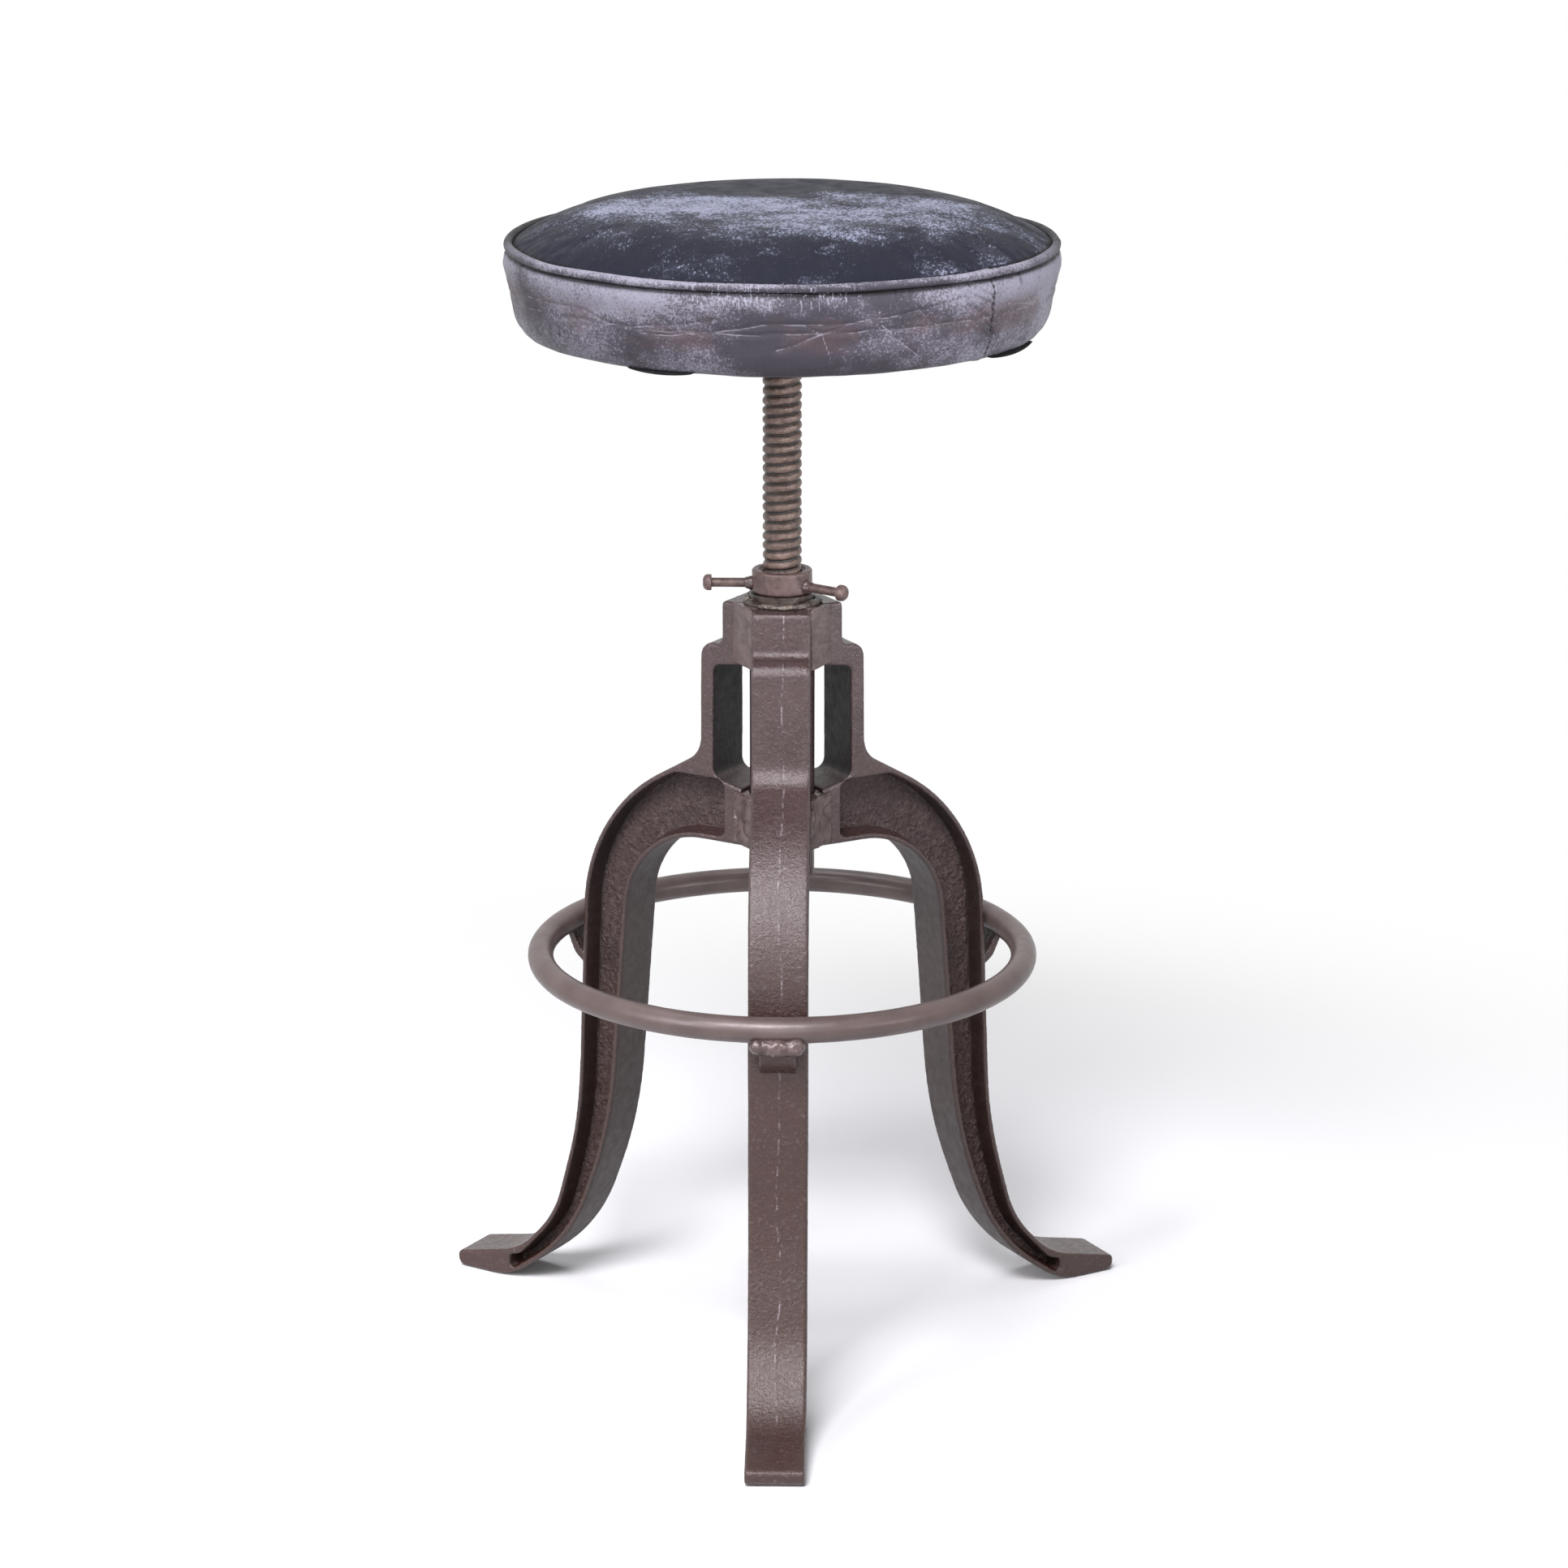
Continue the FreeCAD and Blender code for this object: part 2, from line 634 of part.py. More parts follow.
def make_leg(side, angle):
    """One leg casting: outline, pipe saddle, rounded edges and a drafted recess on both sides."""
    body = new_body("Leg" + side.capitalize(), angle)
    sketch = new_sketch(body, body.Name + "Outline", "XZ_Plane")
    corners, lines, arcs = outline(sketch, LEG_OUTLINE)
    pad(body, sketch, "leg_width", True)
    saddle = new_sketch(body, body.Name + "Saddle", "XY_Plane")
    circle(saddle, "pipe_radius")
    cut_through(body, saddle)
    blank = body.Tip
    half = size("leg_width") / 2
    inner_end = size("pipe_radius")
    rims = []
    for number, edge in enumerate(blank.Shape.Edges, start=1):
        box = edge.BoundBox
        flat = abs(abs(box.YMin) - half) < 0.01 and abs(box.YMax - box.YMin) < 0.01
        if flat and box.XMin > inner_end:
            rims.append("Edge%d" % number)
    edges = body.newObject("PartDesign::Fillet", body.Name + "Edges")
    edges.Base = (blank, rims)
    bind(edges, Radius="leg_edge_round")
    doc.recompute()
    hollow = recess(body, sketch, corners, lines, arcs)
    before = body.Shape.Volume
    pocket = body.newObject("PartDesign::Pocket", body.Name + "Recess")
    pocket.Profile = hollow
    bind(pocket, Length="recess_depth", TaperAngle="0 - recess_draft")
    doc.recompute()
    if body.Shape.Volume > before - 1:
        raise RuntimeError("the recess of %s cuts nothing" % body.Name)
    twin = body.newObject("PartDesign::Mirrored", body.Name + "TwinRecess")
    twin.Originals = [pocket]
    plane = [part for part in body.Origin.OriginFeatures if part.Role == "XZ_Plane"][0]
    twin.MirrorPlane = (plane, [""])
    body.Tip = twin
    doc.recompute()
    return node("leg_" + side, body)


for side, angle in LEG_ANGLES.items():
    make_leg(side, angle)

# Centre pipe with the flanged nut in its upper end

pipe = new_body("CentrePipe")
sketch = new_sketch(pipe, "PipeSection", "XY_Plane", "pipe_bottom_height")
circle(sketch, "pipe_radius")
circle(sketch, "pipe_radius - pipe_wall")
pad(pipe, sketch, "pipe_top_height - pipe_bottom_height")
node("centre_pipe", pipe)

nut = turned(
    "ScrewNut",
    [
        ("screw_radius + thread_clearance", "nut_foot_height", None),
        ("pipe_radius - pipe_wall", "nut_foot_height", None),
        ("pipe_radius - pipe_wall", "pipe_top_height", None),
        ("pipe_radius", "pipe_top_height", None),
        ("pipe_radius", "nut_top_height", None),
        ("screw_radius + thread_clearance", "nut_top_height", None),
    ],
)
node("screw_nut", nut)

# Weld metal in the gaps between neighbouring legs


def hub_welds(name, bottom, top):
    """A three-sided prism round the pipe, less the three legs and the pipe."""
    prism = spun("Part::Prism", name + "Prism", 30.0, up=bottom, Circumradius="2 * hub_weld_apothem")
    prism.Polygon = TRIANGLE_SIDE_COUNT
    bind(prism, Height="%s - %s" % (top, bottom))
    cutters = [doc.addObject("Part::Cylinder", name + "Core")]
    bind(cutters[0], Radius="pipe_radius", Height="leg_top_height")
    for side, angle in LEG_ANGLES.items():
        slab = spun(
            "Part::Box",
            name + side.capitalize() + "Slab",
            angle,
            across="pipe_radius - saddle_depth",
            along="0 - leg_width / 2",
            up="0",
            Length="3 * hub_weld_apothem",
            Width="leg_width",
            Height="leg_top_height",
        )
        cutters.append(slab)
    return minus(name, prism, fused(name + "Cutters", cutters))


node("hub_welds_upper", hub_welds("UpperWelds", "upper_weld_bottom_height", "leg_top_height"))
node("hub_welds_lower", hub_welds("LowerWelds", "lower_weld_bottom_height", "lower_weld_top_height"))

bead = turned(
    "TopBead",
    [
        ("pipe_radius", "leg_top_height", None),
        ("top_bead_radius", "leg_top_height", None),
        ("top_bead_radius - top_bead_slope", "leg_top_height + top_bead_height", "top_bead_height / 2"),
        ("pipe_radius", "leg_top_height + top_bead_height", None),
    ],
)
node("hub_weld_top", bead)

# Footrest ring on three bent straps

ring = doc.addObject("Part::Torus", "FootrestRing")
bind(ring, Radius1="ring_radius", Radius2="ring_bar_radius", Placement__Base__z="ring_height")
node("footrest_ring", ring)

STRAP_OUTLINE = [
    ("strap_foot_low_radius", "strap_foot_low_height", None),
    ("strap_low_bend_radius", "strap_low_bend_height", "strap_bend_outer_round"),
    ("strap_tip_low_radius", "strap_tip_height", None),
    ("strap_tip_high_radius", "strap_tip_height", None),
    ("strap_high_bend_radius", "strap_high_bend_height", "strap_bend_round"),
    ("strap_foot_high_radius", "strap_foot_high_height", None),
]


def make_strap(side, angle):
    """A bent strap from the leg's face to the ring, its end shaped to the ring."""
    body = new_body("Strap" + side.capitalize(), angle)
    sketch = new_sketch(body, body.Name + "Outline", "XZ_Plane")
    outline(sketch, STRAP_OUTLINE)
    pad(body, sketch, "strap_width", True)
    seat = new_sketch(body, body.Name + "RingSeat", "XZ_Plane")
    circle(seat, "ring_bar_radius", "ring_radius", "ring_height")
    before = body.Shape.Volume
    revolve(body, seat, "V_Axis", "PartDesign::Groove")
    if body.Shape.Volume > before - 1:
        raise RuntimeError("the ring seat of %s cuts nothing" % body.Name)
    return node("ring_bracket_" + side, body)


straps = [make_strap(side, angle) for side, angle in LEG_ANGLES.items()]

lumps = []
for side, angle in LEG_ANGLES.items():
    spot = {"across": "ring_weld_center_radius", "up": "ring_weld_center_height"}
    lump = spun(
        "Part::Cylinder",
        "WeldBar" + side.capitalize(),
        angle,
        along="0 - ring_weld_length / 2",
        tilt=Rotation(Vector(1, 0, 0), -90),
        Radius="ring_weld_radius",
        Height="ring_weld_length",
        **spot,
    )
    lumps.append(lump)
    for name, along in (("A", "0 - ring_weld_length / 2"), ("B", "ring_weld_length / 2")):
        ball = spun(
            "Part::Sphere",
            "WeldBall" + name + side.capitalize(),
            angle,
            along=along,
            Radius="ring_weld_radius",
            **spot,
        )
        lumps.append(ball)
ring_core = doc.addObject("Part::Torus", "RingCore")
bind(ring_core, Radius1="ring_radius", Radius2="ring_bar_radius", Placement__Base__z="ring_height")
strap_cores = []
for strap, angle in zip(straps, LEG_ANGLES.values()):
    core = spun(
        "Part::Box",
        strap.Name + "Core",
        angle,
        across="strap_high_bend_radius",
        along="0 - strap_width / 2",
        up="strap_high_bend_height",
        Length="strap_tip_low_radius - strap_high_bend_radius",
        Width="strap_width",
        Height="strap_tip_height - strap_high_bend_height",
    )
    strap_cores.append(core)
lump_cut = minus("RingWelds", fused("WeldLumps", lumps), fused("WeldCutters", [ring_core] + strap_cores))
node("ring_welds", lump_cut)

# Lock collar with two handles

collar = turned(
    "LockCollar",
    [
        ("collar_bore_radius", "collar_foot_height", None),
        ("collar_radius", "collar_foot_height", "collar_edge_round"),
        ("collar_radius", "collar_top_height", "collar_edge_round"),
        ("collar_recess_radius", "collar_top_height", None),
        ("collar_recess_radius", "collar_floor_height", None),
        ("collar_bore_radius", "collar_floor_height", None),
    ],
)
node("lock_collar", collar)

HANDLE_PROFILE = [
    ("handle_root_radius", "0", None),
    ("handle_root_radius", "handle_shank_radius", None),
    ("handle_head_foot", "handle_shank_radius", None),
    ("handle_head_foot", "handle_head_radius", "handle_head_round"),
    ("handle_reach", "handle_head_radius", "handle_head_dome"),
    ("handle_reach", "0", None),
]


def make_handle(side, angle):
    """A turned pin with a domed head, its root shaped to the collar."""
    body = turned("Handle" + side.capitalize(), HANDLE_PROFILE, angle, "H_Axis")
    root = new_sketch(body, body.Name + "Root", "XY_Plane", "0 - collar_height")
    circle(root, "collar_radius")
    cut_through(body, root)
    bind(body, Placement__Base__z="handle_height")
    return node("lock_handle_" + side, body)


for side, angle in HANDLE_ANGLES.items():
    make_handle(side, angle)

roots = []
shanks = [doc.addObject("Part::Cylinder", "CollarCore")]
bind(shanks[0], Radius="collar_radius", Height="2 * handle_height")
for side, angle in HANDLE_ANGLES.items():
    lying = {"up": "handle_height", "tilt": Rotation(Vector(0, 1, 0), 90)}
    cone = spun("Part::Cone", "Root" + side.capitalize(), angle, across="handle_root_radius", **lying)
    bind(cone, Radius1="handle_weld_radius", Radius2="handle_shank_radius + handle_weld_lip")
    bind(cone, Height="handle_root_depth + handle_weld_length")
    roots.append(cone)
    shank = spun("Part::Cylinder", "ShankCore" + side.capitalize(), angle, **lying)
    bind(shank, Radius="handle_shank_radius", Height="handle_reach")
    shanks.append(shank)
node("handle_welds", minus("HandleWelds", fused("Roots", roots), fused("Shanks", shanks)))

# Stop ring that slides in the pipe at the foot of the screw

ring_body = new_body("StopRing")
sketch = new_sketch(ring_body, "StopRingSection", "XY_Plane", "journal_end_height + stop_ring_end_gap")
circle(sketch, "stop_ring_radius")
circle(sketch, "journal_radius + journal_clearance")
pad(ring_body, sketch, "stop_ring_length")
node("stop_ring", ring_body)

# Lift screw, turned with a journal and a tapped end below

screw = turned(
    "LiftScrew",
    [
        ("0", "board_bottom_height", None),
        ("0", "journal_end_height + stop_bolt_depth", None),
        ("stop_bolt_radius", "journal_end_height + stop_bolt_depth", None),
        ("stop_bolt_radius", "journal_end_height", None),
        ("journal_radius", "journal_end_height", None),
        ("journal_radius", "screw_shoulder_height", None),
        ("screw_radius", "screw_shoulder_height", None),
        ("screw_radius", "board_bottom_height", None),
    ],
)
node("lift_screw", screw)

washer = new_body("StopWasher")
sketch = new_sketch(washer, "WasherSection", "XY_Plane", "stop_bolt_seat_height")
circle(sketch, "stop_washer_radius")
circle(sketch, "stop_bolt_radius")
pad(washer, sketch, "stop_washer_thickness")
node("stop_washer", washer)

head = doc.addObject("Part::Prism", "StopBoltHead")
head.Polygon = HEXAGON_SIDE_COUNT
bind(head, Circumradius="stop_bolt_head_flats / sqrt( 3 )", Height="stop_bolt_head_height")
bind(head, Placement__Base__z="stop_bolt_seat_height - stop_bolt_head_height")
shank = doc.addObject("Part::Cylinder", "StopBoltShank")
bind(shank, Radius="stop_bolt_radius", Height="stop_bolt_depth + stop_washer_thickness")
bind(shank, Placement__Base__z="stop_bolt_seat_height")
node("stop_bolt", fused("StopBolt", [head, shank]))

# Steel plate under the seat, welded to the screw and bolted to the board

plate = new_body("SeatPlate")
sketch = new_sketch(plate, "PlateSection", "XY_Plane", "plate_bottom_height")
circle(sketch, "plate_radius")
circle(sketch, "screw_radius")
pad(plate, sketch, "plate_thickness")
sketch = new_sketch(plate, "PlateHole", "XY_Plane", "plate_bottom_height")
circle(sketch, "plate_bolt_radius", "plate_bolt_circle", "0")
hole = cut_through(plate, sketch)
axis = [part for part in plate.Origin.OriginFeatures if part.Role == "Z_Axis"][0]
holes = plate.newObject("PartDesign::PolarPattern", "PlateHoles")
holes.Originals = [hole]
holes.Axis = (axis, [""])
holes.Angle = 360.0
holes.Occurrences = PLATE_BOLT_COUNT
plate.Tip = holes
doc.recompute()
node("seat_plate", plate)

weld = turned(
    "PlateWeld",
    [
        ("screw_radius", "plate_bottom_height", None),
        ("screw_radius", "plate_bottom_height - plate_weld_leg", None),
        ("screw_radius + plate_weld_leg", "plate_bottom_height", None),
    ],
)
node("plate_weld", weld)

bolts = []
for number in range(PLATE_BOLT_COUNT):
    angle = 360.0 * number / PLATE_BOLT_COUNT
    head = spun(
        "Part::Prism",
        "PlateBoltHead%d" % number,
        angle,
        across="plate_bolt_circle",
        up="plate_bottom_height - plate_bolt_head_height",
        Circumradius="plate_bolt_flats / sqrt( 3 )",
        Height="plate_bolt_head_height",
    )
    head.Polygon = HEXAGON_SIDE_COUNT
    shank = spun(
        "Part::Cylinder",
        "PlateBoltShank%d" % number,
        angle,
        across="plate_bolt_circle",
        up="plate_bottom_height",
        Radius="plate_bolt_radius",
        Height="plate_bolt_depth",
    )
    bolts += [head, shank]
node("plate_bolts", fused("PlateBolts", bolts))

# Seat: plywood board, foam pad with a crown, leather top and band, and piping on the seam

board = new_body("SeatBoard")
sketch = new_sketch(board, "BoardSection", "XY_Plane", "board_bottom_height")
circle(sketch, "board_radius")
pad(board, sketch, "board_thickness")
sketch = new_sketch(board, "BoardHole", "XY_Plane", "board_bottom_height")
circle(sketch, "plate_bolt_radius", "plate_bolt_circle", "0")
before = board.Shape.Volume
hole = board.newObject("PartDesign::Pocket", "BoardHolePocket")
hole.Profile = sketch
hole.Reversed = True
bind(hole, Length="plate_bolt_depth - plate_thickness")
doc.recompute()
if board.Shape.Volume > before - 1:
    raise RuntimeError("the bolt hole of the board cuts nothing")
axis = [part for part in board.Origin.OriginFeatures if part.Role == "Z_Axis"][0]
holes = board.newObject("PartDesign::PolarPattern", "BoardHoles")
holes.Originals = [hole]
holes.Axis = (axis, [""])
holes.Angle = 360.0
holes.Occurrences = PLATE_BOLT_COUNT
board.Tip = holes
doc.recompute()
node("seat_board", board)


def seam_groove(body):
    """Shape the edge to the piping that lies in the seam."""
    sketch = new_sketch(body, body.Name + "Seam", "XZ_Plane")
    circle(sketch, "piping_radius", "seam_radius", "seam_height")
    before = body.Shape.Volume
    revolve(body, sketch, "V_Axis", "PartDesign::Groove")
    if body.Shape.Volume > before - 1:
        raise RuntimeError("the seam of %s cuts nothing" % body.Name)


foam = turned(
    "FoamPad",
    [
        ("0", "board_top_height", None),
        ("board_radius", "board_top_height", None),
        ("board_radius", "board_bottom_height", None),
        ("pad_foot_radius", "board_bottom_height", "pad_foot_round"),
        ("pad_side_radius", "band_top_height", None),
        ("top_edge_radius", "seam_height", None),
        ("pad_edge_radius", "seam_height", None),
        ("pad_corner_radius", "pad_corner_height", "pad_corner_round"),
        ("0", "pad_crown_height", None),
    ],
)
seam_groove(foam)
node("foam_pad", foam)

top = turned(
    "LeatherTop",
    [
        ("0", "pad_crown_height", None),
        ("pad_corner_radius", "pad_corner_height", "pad_corner_round"),
        ("pad_edge_radius", "seam_height", None),
        ("top_edge_radius", "seam_height", None),
        ("crown_corner_radius", "crown_corner_height", "crown_round"),
        ("0", "seat_height", None),
    ],
)
seam_groove(top)
node("leather_top", top)

band = turned(
    "LeatherBand",
    [
        ("band_hem_radius", "seat_bottom_height", None),
        ("seat_foot_radius", "seat_bottom_height", "band_foot_round"),
        ("seat_radius", "band_top_height", None),
        ("pad_side_radius", "band_top_height", None),
        ("pad_foot_radius", "board_bottom_height", "pad_foot_round"),
        ("band_hem_radius", "board_bottom_height", None),
    ],
)
seam_groove(band)
node("leather_band", band)

piping = doc.addObject("Part::Torus", "SeatPiping")
bind(piping, Radius1="seam_radius", Radius2="piping_radius", Placement__Base__z="seam_height")
node("seat_piping", piping)

cover = new_body("DustCover")
sketch = new_sketch(cover, "CoverSection", "XY_Plane", "seat_bottom_height - cover_thickness")
circle(sketch, "cover_outer_radius")
circle(sketch, "cover_inner_radius")
pad(cover, sketch, "cover_thickness")
node("dust_cover", cover)

# Check every object, then write one file for each sub-part

doc.recompute()
for item in doc.Objects:
    if "Invalid" in item.State or "Error" in item.State:
        raise RuntimeError("%s is in state %s" % (item.Label, item.State))
for item in nodes:
    if item.Shape.isNull() or not item.Shape.isValid():
        raise RuntimeError("%s has no valid shape" % item.Label)
os.makedirs("parts", exist_ok=True)
for item in nodes:
    item.Shape.exportStep("parts/%s.step" % item.Label)
    box = item.Shape.BoundBox
    print("%-20s solids %d volume %.0f z %.2f to %.2f" % (
        item.Label, len(item.Shape.Solids), item.Shape.Volume, box.ZMin, box.ZMax))
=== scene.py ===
import math

import bmesh
import bpy
import numpy as np
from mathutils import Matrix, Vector

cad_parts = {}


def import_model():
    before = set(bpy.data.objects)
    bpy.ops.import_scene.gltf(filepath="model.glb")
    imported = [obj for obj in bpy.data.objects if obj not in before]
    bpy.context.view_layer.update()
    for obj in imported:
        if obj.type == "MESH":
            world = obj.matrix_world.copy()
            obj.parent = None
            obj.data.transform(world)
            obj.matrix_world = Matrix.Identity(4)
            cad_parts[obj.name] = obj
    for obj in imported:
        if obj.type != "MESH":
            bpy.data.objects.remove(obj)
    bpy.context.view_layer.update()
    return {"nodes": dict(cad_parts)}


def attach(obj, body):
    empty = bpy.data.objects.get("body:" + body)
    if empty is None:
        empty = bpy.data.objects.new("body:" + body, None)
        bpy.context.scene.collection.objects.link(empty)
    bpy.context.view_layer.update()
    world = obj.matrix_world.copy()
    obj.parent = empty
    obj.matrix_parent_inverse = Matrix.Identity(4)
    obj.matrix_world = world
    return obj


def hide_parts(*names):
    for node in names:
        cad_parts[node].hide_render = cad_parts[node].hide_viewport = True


# Looks of a machinist stool: distressed leather seat, threaded lift screw, rough cast iron legs.
# Metres. The origin is on the screw axis at the floor and the front leg points along -Y.

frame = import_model()
NODES = frame["nodes"]
MM = 0.001
SEAM_ANGLE = math.radians(-42.4)
LEG_ANGLES = {"front": -90.0, "left": 150.0, "right": 30.0}
BAND_RADIUS = 0.172
BAND_TOP = 0.7405

# Noise for relief, repeatable


def hashed(cell, seed):
    value = np.sin(cell @ np.array([127.1, 311.7, 74.7]) + seed * 19.19) * 43758.5453
    return value - np.floor(value)


def noise(points, scale, seed=0):
    """Smooth noise from -1 to 1 with cells of the given size in metres."""
    q = points / scale
    cell = np.floor(q)
    f = q - cell
    f = f * f * (3 - 2 * f)
    total = np.zeros(len(points))
    for dx in (0, 1):
        for dy in (0, 1):
            for dz in (0, 1):
                weight = np.abs(1 - dx - f[:, 0]) * np.abs(1 - dy - f[:, 1]) * np.abs(1 - dz - f[:, 2])
                total += weight * hashed(cell + np.array([dx, dy, dz]), seed)
    return total * 2 - 1


def fractal(points, scale, octaves, seed=0):
    total = np.zeros(len(points))
    gain = 1.0
    for k in range(octaves):
        total += gain * noise(points, scale / 2**k, seed + k)
        gain *= 0.5
    return total


def bump(distance, width):
    """A smooth hill of height 1 around distance 0."""
    return np.exp(-((distance / width) ** 2))


def step(value, low, high):
    t = np.clip((value - low) / (high - low), 0, 1)
    return t * t * (3 - 2 * t)


# Meshes


def coordinates(mesh):
    values = np.empty(len(mesh.vertices) * 3)
    mesh.vertices.foreach_get("co", values)
    return values.reshape(-1, 3)


def set_coordinates(mesh, points):
    mesh.vertices.foreach_set("co", points.ravel())
    mesh.update()


def normals(mesh):
    values = np.empty(len(mesh.vertices) * 3)
    mesh.vertices.foreach_get("normal", values)
    return values.reshape(-1, 3)


def add_object(name, mesh, material):
    mesh.materials.clear()
    for item in material if isinstance(material, list) else [material]:
        mesh.materials.append(item)
    for polygon in mesh.polygons:
        polygon.use_smooth = True
    obj = bpy.data.objects.new(name, mesh)
    bpy.context.collection.objects.link(obj)
    return obj


def grid_mesh(name, points, wrap_rows=False, wrap_columns=False):
    """A quad mesh from an array of rows by columns of points."""
    rows, columns = points.shape[:2]
    index = np.arange(rows * columns).reshape(rows, columns)
    if wrap_rows:
        index = np.vstack([index, index[:1]])
    if wrap_columns:
        index = np.hstack([index, index[:, :1]])
    faces = np.stack([index[:-1, :-1], index[:-1, 1:], index[1:, 1:], index[1:, :-1]], -1)
    mesh = bpy.data.meshes.new(name)
    mesh.from_pydata(points.reshape(-1, 3).tolist(), [], faces.reshape(-1, 4).tolist())
    mesh.update()
    return mesh


def baked(obj):
    """Apply an object's modifiers to its mesh."""
    graph = bpy.context.evaluated_depsgraph_get()
    mesh = bpy.data.meshes.new_from_object(obj.evaluated_get(graph))
    obj.modifiers.clear()
    obj.data = mesh
    return obj


def solid_mesh(name, nodes):
    """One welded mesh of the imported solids."""
    work = bmesh.new()
    for node in nodes:
        start = len(work.verts)
        work.from_mesh(NODES[node].data)
        work.verts.ensure_lookup_table()
        for vertex in work.verts[start:]:
            vertex.co = NODES[node].matrix_world @ vertex.co
    bmesh.ops.remove_doubles(work, verts=work.verts, dist=2e-6)
    bmesh.ops.recalc_face_normals(work, faces=work.faces)
    mesh = bpy.data.meshes.new(name)
    work.to_mesh(mesh)
    work.free()
    return mesh


def mark(mesh, name, values):
    """Keep one number for each vertex, which a material reads by its name."""
    layer = mesh.attributes.new(name, "FLOAT", "POINT")
    layer.data.foreach_set("value", np.ascontiguousarray(values, dtype=np.float32))


def rework(name, nodes, body, material, voxel, smooth, relief, marks=None):
    """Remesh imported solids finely, soften their edges and add relief along the normals."""
    obj = add_object(name, solid_mesh(name, nodes), material)
    fine = obj.modifiers.new("Fine", "REMESH")
    fine.mode = "VOXEL"
    fine.voxel_size = voxel
    fine.adaptivity = 0.0
    soft = obj.modifiers.new("Soft", "SMOOTH")
    soft.factor = 0.5
    soft.iterations = smooth
    baked(obj)
    mesh = obj.data
    points = coordinates(mesh)
    facing = normals(mesh)
    set_coordinates(mesh, points + facing * relief(points, facing)[:, None])
    for key, values in (marks(points, facing) if marks else {}).items():
        mark(mesh, key, values)
    for polygon in mesh.polygons:
        polygon.use_smooth = True
    if not mesh.materials:
        mesh.materials.append(material)
    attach(obj, body)
    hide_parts(*nodes)
    return obj


# Materials


class Nodes:
    """A small helper for building a node material."""

    def __init__(self, name):
        self.material = bpy.data.materials.new(name)
        self.material.use_nodes = True
        self.tree = self.material.node_tree
        self.tree.nodes.clear()
        self.out = self.tree.nodes.new("ShaderNodeOutputMaterial")
        self.shader = self.tree.nodes.new("ShaderNodeBsdfPrincipled")
        self.tree.links.new(self.shader.outputs[0], self.out.inputs[0])
        self.place = self.tree.nodes.new("ShaderNodeTexCoord").outputs["Object"]

    def link(self, source, target):
        if isinstance(source, (int, float, tuple)):
            target.default_value = source
        else:
            self.tree.links.new(source, target)

    def add(self, kind, **inputs):
        node = self.tree.nodes.new(kind)
        for key, value in inputs.items():
            self.link(value, node.inputs[key.replace("_", " ")])
        return node

    def noise(self, scale, detail=4.0, rough=0.55, stretch=None):
        node = self.add("ShaderNodeTexNoise", Scale=scale, Detail=detail, Roughness=rough)
        source = self.place
        if stretch:
            scaled = self.add("ShaderNodeVectorMath")
            scaled.operation = "MULTIPLY"
            self.link(source, scaled.inputs[0])
            scaled.inputs[1].default_value = stretch
            source = scaled.outputs[0]
        self.link(source, node.inputs["Vector"])
        return node.outputs[0]

    def cell_edges(self, scale):
        node = self.add("ShaderNodeTexVoronoi", Scale=scale)
        node.feature = "DISTANCE_TO_EDGE"
        self.link(self.place, node.inputs["Vector"])
        return node.outputs["Distance"]

    def math(self, kind, a, b=0.0, c=None):
        node = self.tree.nodes.new("ShaderNodeMath")
        node.operation = kind
        self.link(a, node.inputs[0])
        self.link(b, node.inputs[1])
        if c is not None:
            self.link(c, node.inputs[2])
        return node.outputs[0]

    def remap(self, value, low, high, first=0.0, last=1.0):
        node = self.tree.nodes.new("ShaderNodeMapRange")
        node.interpolation_type = "SMOOTHSTEP"
        self.link(value, node.inputs["Value"])
        for key, number in (("From Min", low), ("From Max", high), ("To Min", first), ("To Max", last)):
            node.inputs[key].default_value = number
        return node.outputs["Result"]

    def mix(self, factor, first, second):
        node = self.tree.nodes.new("ShaderNodeMix")
        node.data_type = "RGBA"
        self.link(factor, node.inputs["Factor"])
        for key, value in (("A", first), ("B", second)):
            socket = [s for s in node.inputs if s.name == key and s.type == "RGBA"][0]
            self.link(value, socket)
        return [s for s in node.outputs if s.type == "RGBA"][0]

    def mark(self, name):
        """The number that mark() keeps for each vertex."""
        node = self.tree.nodes.new("ShaderNodeAttribute")
        node.attribute_name = name
        return node.outputs["Fac"]

    def split(self):
        node = self.tree.nodes.new("ShaderNodeSeparateXYZ")
        self.link(self.place, node.inputs[0])
        return node.outputs

    def bumped(self, height, distance, strength=1.0, below=None):
        node = self.tree.nodes.new("ShaderNodeBump")
        node.inputs["Strength"].default_value = strength
        node.inputs["Distance"].default_value = distance
        self.link(height, node.inputs["Height"])
        if below is not None:
            self.link(below, node.inputs["Normal"])
        return node.outputs[0]

    def finish(self, color, roughness, normal=None, metallic=0.0, specular=0.5):
        shader = self.shader
        self.link(color, shader.inputs["Base Color"])
        self.link(roughness, shader.inputs["Roughness"])
        self.link(metallic, shader.inputs["Metallic"])
        self.link(specular, shader.inputs["Specular IOR Level"])
        if normal is not None:
            self.link(normal, shader.inputs["Normal"])
        return self.material


def rgb(red, green, blue):
    """Linear colour from display values between 0 and 255."""
    def linear(value):
        value /= 255.0
        return value / 12.92 if value <= 0.04045 else ((value + 0.055) / 1.055) ** 2.4
    return (linear(red), linear(green), linear(blue), 1.0)


